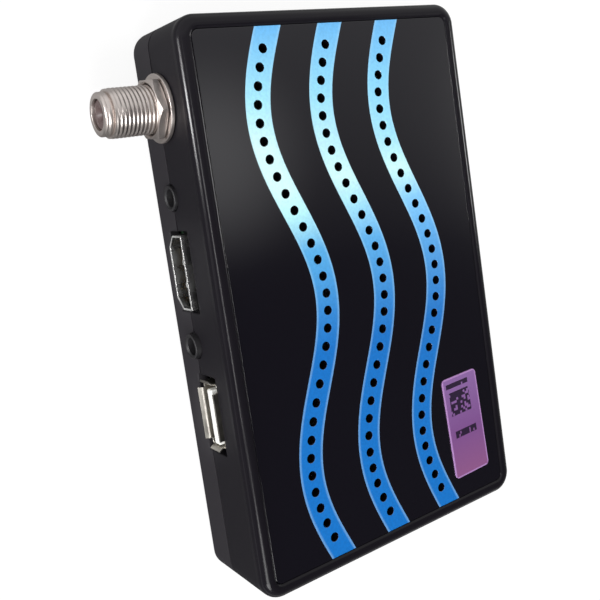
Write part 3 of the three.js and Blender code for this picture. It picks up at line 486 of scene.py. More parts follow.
def add_node(tree, kind, inputs=None, stops=None, **settings):
    """Adds a shader node. Inputs are plain values, or nodes and sockets to link from."""
    made = tree.nodes.new("ShaderNode" + kind)
    for name, value in settings.items():
        setattr(made, name, value)
    for name, value in inputs.items() if isinstance(inputs, dict) else enumerate(inputs or []):
        if isinstance(value, bpy.types.Node):
            value = value.outputs[0]
        if isinstance(value, bpy.types.NodeSocket):
            tree.links.new(value, made.inputs[name])
        else:
            made.inputs[name].default_value = value
    for i, (place, value) in enumerate(stops or []):
        marks = made.color_ramp.elements
        mark = marks[i] if i < len(marks) else marks.new(place)
        mark.position, mark.color = place, value
    return made


def new_material(name, base, roughness, metallic=0.0, **sockets):
    """A material with a Principled surface, and its node tree and shader."""
    material = bpy.data.materials.new(name)
    material.use_nodes = True
    tree = material.node_tree
    tree.nodes.clear()
    shader = add_node(tree, "BsdfPrincipled", {
        "Base Color": base, "Roughness": roughness, "Metallic": metallic,
        **{key.replace("_", " "): value for key, value in sockets.items()},
    })
    add_node(tree, "OutputMaterial", {"Surface": shader})
    return material, tree, shader


def place_of(tree, **mapping):
    """Object coordinates, moved, turned and stretched by a Mapping node."""
    where = add_node(tree, "TexCoord").outputs["Object"]
    values = {key.capitalize(): value for key, value in mapping.items()}
    return add_node(tree, "Mapping", {"Vector": where, **values})


def add_grain(tree, shader, grain, depth, where=None, detail=3.0):
    """Raises a fine noise on the surface: grain is its size and depth its height."""
    noise = add_node(tree, "TexNoise", {
        "Vector": where or place_of(tree), "Scale": 1 / grain, "Detail": detail})
    raised = add_node(tree, "Bump", {"Height": noise, "Distance": depth})
    tree.links.new(raised.outputs[0], shader.inputs["Normal"])
    return noise


def add_wear(tree, shader, patch, low, high, where=None):
    """Lets the roughness drift between two values over patches of a given size."""
    noise = add_node(tree, "TexNoise", {
        "Vector": where or place_of(tree), "Scale": 1 / patch, "Detail": 4.0})
    spread = add_node(tree, "MapRange", {
        "Value": noise, "From Min": 0.3, "From Max": 0.7, "To Min": low, "To Max": high})
    tree.links.new(spread.outputs[0], shader.inputs["Roughness"])
    return spread


def moulded_abs(name, base, roughness, polish=0.0):
    """ABS moulded in a spark-eroded tool: black, satin, smoother by polish along the rim."""
    # The specular level is low, because the real case mirrors less than its index gives.
    material, tree, shader = new_material(name, base, roughness, IOR=1.53, Specular_IOR_Level=0.18)
    where = place_of(tree)
    # The real grain is near 0.05 mm, too fine to show, so it is drawn at 0.3 mm.
    add_grain(tree, shader, 0.3 * MM, 0.003 * MM, where)
    drift = add_wear(tree, shader, 14 * MM, roughness - 0.03, roughness + 0.04, where)
    top = case_box()["top"]
    worn = add_node(tree, "MapRange", {
        "Value": add_node(tree, "SeparateXYZ", [where]).outputs["Z"],
        "From Min": top - 3.0 * MM, "From Max": top - 1.5 * MM, "To Max": polish})
    rough = add_node(tree, "Math", [drift, worn], operation="SUBTRACT")
    tree.links.new(rough.outputs[0], shader.inputs["Roughness"])
    return material


def printed_acrylic(colours, sizes):
    """Polished black acrylic with blue waves printed under its face.

    A point's distance to the nearest row is |t - round(t)| * spacing * cos(slope angle), where
    t = (y - shift + height * cos(2 pi x / period)) / spacing. It is ink within half a stripe.
    """
    material, tree, shader = new_material("printed gloss acrylic", colours.panel, 0.16,
        IOR=1.49, Coat_Weight=1.0, Coat_Roughness=0.04)
    case = case_box()
    where = place_of(tree, location=(0, -case["y"] - BAND_SHIFT, 0))
    axes = add_node(tree, "SeparateXYZ", [where]).outputs
    turn = 2 * math.pi / sizes.wave_period
    phase = add_node(tree, "Math", [axes["X"], turn], operation="MULTIPLY")
    cosine = add_node(tree, "Math", [phase], operation="COSINE")
    swing = add_node(tree, "Math", [cosine, sizes.wave_height], operation="MULTIPLY")
    level = add_node(tree, "Math", [axes["Y"], swing], operation="ADD")
    rows = add_node(tree, "Math", [level, sizes.band_spacing], operation="DIVIDE")
    whole = add_node(tree, "Math", [rows], operation="ROUND")
    off = add_node(tree, "Math", [rows, whole], operation="SUBTRACT")
    off = add_node(tree, "Math", [off], operation="ABSOLUTE")
    off = add_node(tree, "Math", [off, sizes.band_spacing], operation="MULTIPLY")
    sine = add_node(tree, "Math", [phase], operation="SINE")
    slope = add_node(tree, "Math", [sine, turn * sizes.wave_height], operation="MULTIPLY")
    length = add_node(tree, "Math", [slope, slope, 1.0], operation="MULTIPLY_ADD")
    length = add_node(tree, "Math", [length], operation="SQRT")
    apart = add_node(tree, "Math", [off, length], operation="DIVIDE")

    # The print ends with the last row, and stays off the walls of the holes.
    half, soft = sizes.stripe_width / 2, 0.04 * MM
    within = add_node(tree, "MapRange", {
        "Value": apart, "From Min": half + soft, "From Max": half - soft})
    row = add_node(tree, "Math", [rows], operation="ABSOLUTE")
    near = add_node(tree, "Math", [row, BANDS / 2], operation="LESS_THAN")
    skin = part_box("top_panel")[1].z - 0.04 * MM
    top = add_node(tree, "Math", [axes["Z"], skin], operation="GREATER_THAN")
    ink = add_node(tree, "Math", [within, near], operation="MULTIPLY")
    ink = add_node(tree, "Math", [ink, top], operation="MULTIPLY")

    # Along a stripe the blue is deep, pale and mid blue, and the rows differ a little. The pale
    # part is a painted sheen of reflected light, which sits a little apart on each row.
    along = add_node(tree, "MapRange", {
        "Value": axes["X"], "From Min": -case["half_x"], "From Max": case["half_x"]})
    deep, pale, start = (tuple(c) for c in (colours.wave_deep, colours.wave_painted_sheen, colours.wave_top))
    near_side = add_node(tree, "ValToRGB", [along], stops=[
        (0.40, deep), (0.46, linear("#2a86d4")), (0.58, linear("#56b0ea")),
        (0.65, linear("#c0fcff")), (0.70, pale), (0.77, pale), (0.85, linear("#a8ecff")),
        (0.98, start)])
    far_side = add_node(tree, "ValToRGB", [along], stops=[
        (0.40, deep), (0.46, linear("#2a86d4")), (0.58, linear("#5ab0f0")),
        (0.64, linear("#7ccaff")), (0.70, linear("#ccffff")), (0.76, linear("#9ce4ff")),
        (0.86, linear("#84d6ff")), (0.98, start)])
    across = add_node(tree, "MapRange", {"Value": rows, "From Min": -1.2, "From Max": 1.2})
    blue = add_node(tree, "Mix", {SHARE: across, COLOUR_A: far_side, COLOUR_B: near_side},
        data_type="RGBA")
    border = add_node(tree, "MapRange", {
        "Value": apart, "From Min": half - 0.6 * MM, "From Max": half - 0.2 * MM, "To Max": 0.28})
    blue = add_node(tree, "Mix", {
        SHARE: border, COLOUR_A: blue.outputs[MIXED], COLOUR_B: linear("#b4e4fc")},
        data_type="RGBA")
    # The print's dots are near 0.1 mm, too fine to show, so they are flecks of 0.6 mm.
    flecks = add_node(tree, "TexNoise", {
        "Vector": where, "Scale": 1 / (0.6 * MM), "Detail": 2.0})
    shade = add_node(tree, "MapRange", {
        "Value": flecks, "From Min": 0.35, "From Max": 0.65, "To Min": 0.94, "To Max": 1.04})
    flecked = add_node(tree, "Mix", {SHARE: 1.0, COLOUR_A: blue.outputs[MIXED], COLOUR_B: shade},
        data_type="RGBA", blend_type="MULTIPLY")
    face = add_node(tree, "Mix", {
        SHARE: ink, COLOUR_A: tuple(colours.panel), COLOUR_B: flecked.outputs[MIXED]},
        data_type="RGBA")
    tree.links.new(face.outputs[MIXED], shader.inputs["Base Color"])
    shine = add_node(tree, "Math", [ink, 0.2, 0.14], operation="MULTIPLY_ADD")
    tree.links.new(shine.outputs[0], shader.inputs["Roughness"])
    # Handling leaves long, hardly visible waves in a polished sheet.
    add_grain(tree, shader, 9 * MM, 0.004 * MM, where, detail=1.0)
    return material


def printed_vinyl(colours, middle, tilt):
    """Vinyl sticker: purple print with a pale border, and dark bars and blocks of no meaning."""
    material, tree, shader = new_material("printed vinyl", colours.sticker, 0.38, IOR=1.5)
    where = add_node(tree, "TexCoord").outputs["Object"]
    centred = add_node(tree, "Mapping", {
        "Vector": where, "Location": (*middle[:2], 0), "Rotation": (0, 0, tilt)},
        vector_type="TEXTURE")

    def inside(x, y, width, height):
        """One where a point is within a rectangle about (x, y), in millimetres."""
        away = add_node(tree, "VectorMath", [centred, (x * MM, y * MM, 0)], operation="SUBTRACT")
        away = add_node(tree, "VectorMath", [away], operation="ABSOLUTE")
        axes = add_node(tree, "SeparateXYZ", [away]).outputs
        across = add_node(tree, "Math", [axes["X"], width * MM / 2], operation="LESS_THAN")
        along = add_node(tree, "Math", [axes["Y"], height * MM / 2], operation="LESS_THAN")
        return add_node(tree, "Math", [across, along], operation="MULTIPLY")

    def modules(width, height, share):
        """Random cells of a size in millimetres, of which a share is one."""
        cell = (width * MM, height * MM, 1.0)
        cells = add_node(tree, "VectorMath", [centred, cell], operation="DIVIDE")
        whole = add_node(tree, "VectorMath", [cells], operation="FLOOR")
        flat = add_node(tree, "VectorMath", [whole, (1, 1, 0)], operation="MULTIPLY")
        chance = add_node(tree, "TexWhiteNoise", {"Vector": flat}).outputs["Value"]
        return add_node(tree, "Math", [chance, share], operation="LESS_THAN")

    bars = add_node(tree, "Math", [inside(9.6, 0.9, 1.1, 6.6), inside(-1.7, 0.15, 1.6, 6.4)],
        operation="MAXIMUM")
    bars = add_node(tree, "Math", [bars, modules(0.6, 0.4, 0.93)], operation="MULTIPLY")
    block = add_node(tree, "Math", [inside(5.4, 0.6, 5.4, 6.0), modules(0.55, 0.55, 0.7)],
        operation="MULTIPLY")
    print_mask = add_node(tree, "Math", [bars, block], operation="MAXIMUM")
    fade = add_node(tree, "MapRange", {
        "Value": add_node(tree, "SeparateXYZ", [centred]).outputs["X"],
        "From Min": -11.5 * MM, "From Max": 11.5 * MM})
    ground = add_node(tree, "ValToRGB", [fade], stops=[
        (0.0, linear("#885282")), (0.45, tuple(colours.sticker)), (1.0, linear("#86609c"))])
    face = inside(0, 0, 22.3, 9.6)
    edged = add_node(tree, "Mix", {
        SHARE: face, COLOUR_A: tuple(colours.sticker_edge), COLOUR_B: ground}, data_type="RGBA")
    printed = add_node(tree, "Mix", {
        SHARE: print_mask, COLOUR_A: edged.outputs[MIXED], COLOUR_B: tuple(colours.ink)},
        data_type="RGBA")
    tree.links.new(printed.outputs[MIXED], shader.inputs["Base Color"])
    add_grain(tree, shader, 1.2 * MM, 0.004 * MM)
    return material


def nickel_plate():
    """Bright nickel on turned brass: a warm grey mirror with faint tool marks round the axis."""
    material, tree, shader = new_material("nickel-plated brass", linear("#d6cdc8"), 0.36, 1.0)
    # The marks are near 0.03 mm apart, too fine to show, so they are drawn at 0.09 mm.
    marks = place_of(tree, scale=(0.02, 1.0, 0.02))
    add_grain(tree, shader, 0.09 * MM, 0.0006 * MM, marks, detail=2.0)
    add_wear(tree, shader, 1.6 * MM, 0.32, 0.44)
    return material


def sheet_steel(name, base, roughness):
    """Plated sheet steel, stamped and folded: grey, satin, with fine rolling lines along X."""
    material, tree, shader = new_material(name, linear(base), roughness, 1.0)
    # The lines are near 0.02 mm apart, too fine to show, so they are drawn at 0.12 mm.
    add_grain(tree, shader, 0.12 * MM, 0.002 * MM, place_of(tree, scale=(0.06, 1.0, 1.0)))
    add_wear(tree, shader, 2.5 * MM, roughness - 0.06, roughness + 0.1)
    return material


def moulded_resin(name, base, roughness):
    """Engineering plastic as moulded: matt, with a faint cloudy grain."""
    material, tree, shader = new_material(name, linear(base), roughness, IOR=1.55)
    # The real grain is near 0.05 mm, too fine to show, so it is drawn at 0.25 mm.
    add_grain(tree, shader, 0.25 * MM, 0.006 * MM)
    add_wear(tree, shader, 3 * MM, roughness - 0.08, roughness + 0.08)
    return material


def solder_mask_board():
    """Glass-epoxy board under green solder mask: dark, with paler tracks and the glass weave."""
    material, tree, shader = new_material("FR4 board", linear("#0b1a10"), 0.45, IOR=1.55)
    where = place_of(tree)
    tracks = add_node(tree, "TexBrick", {
        "Vector": where, "Scale": 1.0, "Color1": linear("#0b1a10"), "Color2": linear("#0a170e"),
        "Mortar": linear("#18341f"), "Mortar Size": 0.12 * MM, "Brick Width": 7.3 * MM,
        "Row Height": 0.9 * MM})
    tree.links.new(tracks.outputs[0], shader.inputs["Base Color"])
    add_grain(tree, shader, 0.5 * MM, 0.01 * MM, where)
    return material


def printed_chip():
    """Epoxy mould compound round a chip: charcoal, matt, peppered with silica."""
    material, tree, shader = new_material("epoxy mould compound", linear("#232324"), 0.62, IOR=1.6)
    noise = add_grain(tree, shader, 0.08 * MM, 0.006 * MM)
    tone = add_node(tree, "ValToRGB", [noise], stops=[
        (0.3, linear("#1d1d1e")), (0.7, linear("#2b2b2c"))])
    tree.links.new(tone.outputs[0], shader.inputs["Base Color"])
    return material


def gold_plate():
    """Gold flash on phosphor bronze: warm yellow, bright, slightly uneven."""
    material, tree, shader = new_material("gold-plated bronze", linear("#d6a852"), 0.24, 1.0)
    add_wear(tree, shader, 0.8 * MM, 0.18, 0.34)
    return material


def smoked_acrylic():
    """Smoked acrylic: almost black with a wine tint, polished, passing only infrared light."""
    material, tree, shader = new_material("smoked acrylic", linear("#1b0d12"), 0.06,
        IOR=1.49, Coat_Weight=0.6, Coat_Roughness=0.03)
    add_grain(tree, shader, 6 * MM, 0.003 * MM, detail=1.0)
    return material


def foot_rubber():
    """Moulded silicone rubber: black, dull, with a soft bloom."""
    material, tree, shader = new_material("silicone rubber", linear("#161616"), 0.85)
    # The real grain is near 0.1 mm, too fine to show, so it is drawn at 0.4 mm.
    add_grain(tree, shader, 0.4 * MM, 0.02 * MM)
    add_wear(tree, shader, 2 * MM, 0.75, 0.92)
    return material


def capacitor_sleeve():
    """Shrunk PVC sleeve on a capacitor: dark blue, glossy, a little uneven."""
    material, tree, shader = new_material("PVC capacitor sleeve", linear("#252a4f"), 0.3, IOR=1.54)
    add_wear(tree, shader, 3 * MM, 0.24, 0.4)
    return material


def anodised_fins():
    """Extruded and anodised aluminium: pale grey, satin, with drawing lines along X."""
    material, tree, shader = new_material("anodised aluminium", linear("#a5a8ab"), 0.45, 1.0)
    # The lines are near 0.05 mm apart, too fine to show, so they are drawn at 0.15 mm.
    add_grain(tree, shader, 0.15 * MM, 0.004 * MM, place_of(tree, scale=(0.05, 1.0, 1.0)))
    return material


def coil_core():
    """Sintered ferrite: dark grey, matt and slightly rough."""
    material, tree, shader = new_material("sintered ferrite", linear("#39393b"), 0.6)
    add_grain(tree, shader, 0.2 * MM, 0.015 * MM)
    return material


def clear_epoxy():
    """Cast clear epoxy of a lamp: glassy, with hardly any haze."""
    material, tree, shader = new_material("clear epoxy", linear("#dfe6df"), 0.08,
        IOR=1.52, Transmission_Weight=0.9)
    add_wear(tree, shader, 2 * MM, 0.05, 0.15)
    return material


# Pieces. Each operator makes one piece, or one group of like pieces.


class RECEIVER_OT_upper_case(bpy.types.Operator):
    """Makes the upper shell: walls, round rim, recess for the gloss panel and slotted deck"""

    bl_idname = "receiver.upper_case"
    bl_label = "Upper case"

    def execute(self, context):
        sizes, case = context.scene.receiver_sizes, case_box()
        radius, top, low = sizes.edge_radius, case["top"], case["parting_high"]
        panel_top = top - sizes.panel_drop
        deck_top = panel_top - PANEL_THICKNESS - SEAT
        deck_under = deck_top - DECK
        step, over_lip = WALL - LIP_THICKNESS - FIT, case["lip_top"] + FIT
        recess, slope = sizes.rim_width - PANEL_GAP, sizes.rim_chamfer
        profile = [
            (WALL, deck_under), (WALL, over_lip), (step, over_lip), (step, low),
            *arc(PARTING_ROUND, 270, 180, 3, PARTING_ROUND, low + PARTING_ROUND),
            *arc(radius, 180, 90, EDGE_STEPS, radius, top - radius),
            (recess - slope, top), (recess - 0.5 * slope, top - 0.08 * MM),
            (recess - 0.02 * MM, panel_top), (recess, panel_top - 0.06 * MM), (recess, deck_top),
        ]
        piece = new_object("upper_case", loft([case_ring(i, z) for i, z in profile]))
        places, boss_top = boss_places(), case["boss_top"]
        combine(piece, posts(places, 32, (POST_RADIUS, boss_top + SEAT),
            (POST_RADIUS, deck_under + SEAT)), "UNION")
        pilot = SHANK_RADIUS + FIT
        pilot_end = case["underside"] + POCKET_DEPTH - SEAT + SHANK_LENGTH + 1.2 * MM
        tools = posts(places, 24, (pilot, boss_top - OVER), (pilot, pilot_end))
        tools += self.deck_slots(sizes, deck_under - OVER, deck_top + OVER)
        far = case["y"] - case["half_y"]
        tools.append(window(REMOTE_SIZE, REMOTE_X, REMOTE_Z, (
            (OVER + OPENING_CHAMFER, far - OVER), (0.0, far + OPENING_CHAMFER),
            (0.0, far + WALL + OVER))))
        combine(piece, tools + side_openings(), "DIFFERENCE")
        base = context.scene.receiver_colours.upper_case
        complete(piece, moulded_abs("satin moulded ABS", base, 0.52, 0.34),
            "black_shell", "upper_shell")
        return {"FINISHED"}

    @staticmethod
    def deck_slots(sizes, low, high):
        """Slots that follow the rows of holes, a few to each row, with bridges between them."""
        shapes = []
        holes = hole_x(sizes)
        parts = np.round(np.arange(SLOTS_PER_BAND + 1) * len(holes) / SLOTS_PER_BAND).astype(int)
        reach = (sizes.hole_pitch - SLOT_BRIDGE) / 2
        for band in bands():
            for first, after in zip(parts[:-1], parts[1:]):
                steps = 4 * (after - first) + 1
                x = np.linspace(holes[first] - reach, holes[after - 1] + reach, steps)
                below = wave_point(band, x, -SLOT_WIDTH / 2, sizes)
                above = wave_point(band, x, SLOT_WIDTH / 2, sizes)[::-1]
                outline = np.vstack([below, above])
                shapes.append(loft([upright(outline, low), upright(outline, high)]))
        return shapes


class RECEIVER_OT_lower_case(bpy.types.Operator):
    """Makes the lower shell: floor with vents, walls with an inner lip, bosses and recesses"""

    bl_idname = "receiver.lower_case"
    bl_label = "Lower case"

    def execute(self, context):
        case = case_box()
        under, high, lip_top = case["underside"], case["parting_low"], case["lip_top"]
        floor_top, boss_top = under + FLOOR, case["boss_top"]
        lip = WALL - LIP_THICKNESS
        profile = [
            (WALL, floor_top), (WALL, lip_top - 0.1 * MM), (WALL - 0.1 * MM, lip_top),
            (lip + 0.15 * MM, lip_top), (lip, lip_top - 0.15 * MM), (lip, high),
            *arc(PARTING_ROUND, 90, 180, 3, PARTING_ROUND, high - PARTING_ROUND),
            *arc(BASE_RADIUS, 180, 270, EDGE_STEPS // 2, BASE_RADIUS, under + BASE_RADIUS),
        ]
        piece = new_object("lower_case", loft([case_ring(i, z) for i, z in profile]))
        places = boss_places()
        screws = [middle_of(f"board_screw_{i}")[:2] for i in (1, 2, 3)]
        feet = [middle_of(f"rubber_foot_{i}")[:2] for i in (1, 2, 3, 4)]
        standoff_top = under + STANDOFF_HEIGHT
        supports = posts(places, 32, (BOSS_RADIUS, floor_top - SEAT), (BOSS_RADIUS, boss_top))
        supports += posts(screws, 32, (STANDOFF_RADIUS, floor_top - SEAT),
            (STANDOFF_RADIUS, standoff_top))
        combine(piece, supports, "UNION")

        head, bore, foot = HEAD_RADIUS + FIT, SHANK_RADIUS + FIT, FOOT_RADIUS + FIT
        pocket, chamfer = under + POCKET_DEPTH, POCKET_CHAMFER
        tools = posts(places, 40, (head + chamfer + OVER, under - OVER), (head, under + chamfer),
            (head, pocket), (bore, pocket), (bore, boss_top + OVER))
        bore_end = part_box("board_screw_1")[0].z - SEAT
        tools += posts(screws, 24, (STANDOFF_BORE, bore_end), (STANDOFF_BORE, standoff_top + OVER))
        tools += posts(feet, 48, (foot, under - OVER), (foot, under + FOOT_RECESS))
        # Growth and height of each ring of a vent.
        levels = (OVER + chamfer, under - OVER), (0.0, under + chamfer), (0.0, floor_top + OVER)
        for x in (-VENT_MIDDLE, VENT_MIDDLE):
            for y in case["y"] + VENT_PITCH * (np.arange(VENTS) - (VENTS - 1) / 2):
                slots = [rounded(rectangle(VENT_LENGTH + 2 * g, VENT_WIDTH + 2 * g, x, y),
                    VENT_WIDTH / 2 + g - MERGE, 8) for g, _ in levels]
                tools.append(loft([upright(slot, z) for slot, (_, z) in zip(slots, levels)]))
        combine(piece, tools + side_openings(), "DIFFERENCE")
        base = context.scene.receiver_colours.lower_case
        complete(piece, moulded_abs("matt moulded ABS", base, 0.55), "black_shell", "lower_shell")
        return {"FINISHED"}


class RECEIVER_OT_gloss_panel(bpy.types.Operator):
    """Makes the gloss panel with its rows of air holes and printed waves"""

    bl_idname = "receiver.gloss_panel"
    bl_label = "Gloss panel"

    def execute(self, context):
        sizes = context.scene.receiver_sizes
        low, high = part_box("top_panel")
        soft, chamfer = 0.12 * MM, 0.07 * MM
        inset, radius = sizes.rim_width, sizes.hole_diameter / 2
        edge = arc(soft, 180, 90, 3, inset + soft, high.z - soft)
        rings = [case_ring(inset, low.z), *[case_ring(i, z) for i, z in edge]]
        piece = new_object("gloss_panel", loft(rings))
        places = np.vstack([wave_point(band, hole_x(sizes), 0.0, sizes) for band in bands()])
        combine(piece, posts(places, HOLE_SIDES, (radius, low.z - OVER), (radius, high.z - chamfer),
            (radius + chamfer + OVER, high.z + OVER)), "DIFFERENCE")
        complete(piece, printed_acrylic(context.scene.receiver_colours, sizes),
            "gloss_panel", "top_panel")
        return {"FINISHED"}


class RECEIVER_OT_sticker(bpy.types.Operator):
    """Makes the purple sticker near the panel's corner"""

    bl_idname = "receiver.sticker"
    bl_label = "Sticker"

    def execute(self, context):
        low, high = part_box("panel_label")
        middle = (low + high) / 2
        tilt = math.radians(1.8)
        width, height, corner, soft = (v * MM for v in (23.0, 10.3, 1.0, 0.05))
        rings = [upright(rounded(rectangle(width - 2 * i, height - 2 * i), corner - i, 8), z)
            for i, z in ((0.0, low.z), (0.0, high.z - soft), (soft, high.z))]
        cos, sin = math.cos(tilt), math.sin(tilt)
        turn = np.array([[cos, sin, 0], [-sin, cos, 0], [0, 0, 1]])
        piece = new_object("sticker", move(loft(rings), (middle.x, middle.y, 0), turn))
        complete(piece, printed_vinyl(context.scene.receiver_colours, middle, tilt),
            "sticker", "panel_label")
        return {"FINISHED"}


class RECEIVER_OT_feet(bpy.types.Operator):
    """Makes the four rubber feet"""

    bl_idname = "receiver.feet"
    bl_label = "Rubber feet"

    def execute(self, context):
        rubber = foot_rubber()
        soft, dish = 0.35 * MM, 0.12 * MM
        for i in range(1, 5):
            low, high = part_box(f"rubber_foot_{i}")
            middle = (low + high) / 2
            profile = [
                (0.0, low.z + dish), (FOOT_RADIUS - 1.5 * MM, low.z + dish),
                (FOOT_RADIUS - 1.2 * MM, low.z),
                *arc(soft, -90, 0, 5, FOOT_RADIUS - soft, low.z + soft), (FOOT_RADIUS, high.z),
            ]
            piece = new_object(f"foot_{i}", posts([middle[:2]], 48, *profile)[0])
            complete(piece, rubber, "rubber", f"rubber_foot_{i}")
        return {"FINISHED"}


def screw_shape(head, height, radius, length, pitch):
    """A pan-head screw on its tip: a domed head and a shank whose radius rises along a spiral.

    The thread's radius is root + depth * (1 - |2 * part - 1|), with part the fraction of
    height / pitch - turn.
    """
    sides, neck, edge = 32, 0.3 * MM, 0.1 * MM
    root, start = 0.8 * radius, radius - length
    z = np.arange(start, -neck, pitch / 6)
    part = np.mod(z[:, None] / pitch - np.arange(sides) / sides, 1.0)
    fade = np.clip((z - start) / pitch, 0, 1) * np.clip((-neck - z) / pitch, 0, 1)
    thread = root + (radius - root) * (1 - np.abs(2 * part - 1)) * fade[:, None]
    dome = arc(1.0, 0, 60, 3) * [head, 0.65 * height] + [0, 0.35 * height]
    return posts([(0.0, 0.0)], sides, (0.25 * radius, -length), (root, start), *zip(thread, z),
        (root, 0.0), (head - edge, 0.0), (head, edge), *dome, (0.3 * head, height))[0]


def cross_recess(head, height):
    """A cutting shape for a cross recess: a plus that narrows downwards."""
    long, wide = 0.56 * head, 0.17 * head
    plus = np.array([[-wide, -long], [wide, -long], [wide, -wide], [long, -wide], [long, wide],
        [wide, wide], [wide, long], [-wide, long], [-wide, wide], [-long, wide], [-long, -wide],
        [-wide, -wide]])
    return loft([upright(plus * 0.6, 0.4 * height), upright(plus * 1.05, height + OVER / 2)])


class RECEIVER_OT_screws(bpy.types.Operator):
    """Makes the case screws and the board screws"""

    bl_idname = "receiver.screws"
    bl_label = "Screws"

    def execute(self, context):
        zinc = sheet_steel("zinc-plated steel", "#b4b8bb", 0.3)
        # Kind, count, which way its head points, then head, height, radius, length and pitch.
        case_screw = (HEAD_RADIUS, HEAD_HEIGHT, SHANK_RADIUS, SHANK_LENGTH, 1.0 * MM)
        board_screw = (2.2 * MM, 1.3 * MM, 1.1 * MM, 3.8 * MM, 0.8 * MM)
        for kind, count, sign, spans in (
                ("case_screw", 4, -1, case_screw), ("board_screw", 3, 1, board_screw)):
            for i in range(1, count + 1):
                low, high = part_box(f"{kind}_{i}")
                middle = (low + high) / 2
                base = high.z - spans[1] if sign > 0 else low.z + spans[1]
                place, flip = (middle.x, middle.y, base), np.diag([1.0, sign, sign])
                name = kind.replace("screw", f"pan_screw_{i}")
                piece = new_object(name, move(screw_shape(*spans), place, flip))
                combine(piece, [move(cross_recess(*spans[:2]), place, flip)], "DIFFERENCE")
                complete(piece, zinc, "steel", f"{kind}_{i}", sharp=40.0)
        return {"FINISHED"}


class RECEIVER_OT_antenna_socket(bpy.types.Operator):
    """Makes the threaded antenna barrel, its insulator and its centre contact"""

    bl_idname = "receiver.antenna_socket"
    bl_label = "Antenna socket"

    def execute(self, context):
        sizes, face = context.scene.receiver_sizes, case_box()["face"]
        low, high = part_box("antenna_socket")
        middle, end = (low + high) / 2, high.y
        centre = (middle.x, 0.0, middle.z)
        sides, pitch = 112, sizes.thread_pitch
        crest, root = 4.7 * MM, 4.7 * MM - sizes.thread_depth
        back, thread_end = face - WALL - FIT, end - 1.75 * MM
        # The radius rises and falls once in a pitch, with flat crests and roots.
        y = np.arange(back, thread_end, pitch / 10)
        part = np.mod((y[:, None] - thread_end) / pitch - np.arange(sides) / sides, 1.0)
        rise = np.clip((1 - np.abs(2 * part - 1) - 0.12) / 0.72, 0, 1)
        fade = np.clip((y - back) / pitch, 0, 1) * np.clip((thread_end - y) / pitch, 0, 1)
        thread = root + (crest - root) * rise * fade[:, None]
        lead, flange, stub, mouth, bore = (v * MM for v in (4.15, 5.6, 3.0, 2.95, 2.2))
        soft, lip, rim, nick = (v * MM for v in (0.15, 0.45, 0.12, 0.14))
        flange_back, groove, mouth_end = back - 1.5 * MM, end - lip - 0.2 * MM, face - 3.0 * MM
        profile = [
            (flange, flange_back + soft), (flange, back - soft), (flange - soft, back),
            (root, back), *zip(thread, y), (root, thread_end),
            (lead - soft, thread_end + 0.05 * MM), (lead, thread_end + 0.2 * MM),
            (lead, groove - 0.15 * MM), (lead - nick, groove - 0.04 * MM),
            (lead - nick, groove + 0.04 * MM), (lead, groove + 0.15 * MM),
            *arc(lip, 0, 90, 8, lead - lip, end - lip),
            *arc(rim, 90, 180, 3, mouth + rim, end - rim),
            (mouth, mouth_end), (bore, mouth_end), (bore, low.y + soft), (bore + soft, low.y),
            (stub - soft, low.y), (stub, low.y + soft), (stub, flange_back),
            (flange - soft, flange_back),
        ]
        barrel = new_object("antenna_barrel", turned(profile, sides, centre, "joined"))
        complete(barrel, nickel_plate(), "nickel", "antenna_socket", sharp=60.0)

        low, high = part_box("socket_insulator")
        front, rear, hole, funnel = (v * MM for v in (2.73, 1.98, 0.7, 1.45))
        step, tip = face - 2.78 * MM, high.y
        profile = [
            (rear, low.y), (rear, step), (front, step), (front, tip - soft), (front - soft, tip),
            (funnel + 0.3 * MM, tip), (funnel + 0.2 * MM, tip - 0.1 * MM), (funnel, tip - 0.1 * MM),
            (hole, tip - 0.8 * MM), (hole, low.y),
        ]
        insulator = new_object("antenna_insulator", turned(profile, 64, centre, "joined"))
        complete(insulator, moulded_resin("moulded polyethylene", "#5a4a49", 0.45),
            "insulator", "socket_insulator")

        low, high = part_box("socket_contact")
        radius, bend = 0.45 * MM, 1.2 * MM
        rear, turn_z = low.y + radius, middle.z - bend
        straight = np.linspace(high.y - 0.15 * MM, rear + bend, 10)
        down = np.linspace(turn_z, low.z, 5)
        path = [(middle.x, v, middle.z) for v in straight]
        path += [(middle.x, *v) for v in arc(bend, 90, 180, 8, rear + bend, turn_z)[1:-1]]
        path += [(middle.x, rear, v) for v in down]
        pin = new_object("antenna_contact", sweep(path, circle(radius, 20), (1, 0, 0)))
        complete(pin, gold_plate(), "gold", "socket_contact")
        return {"FINISHED"}


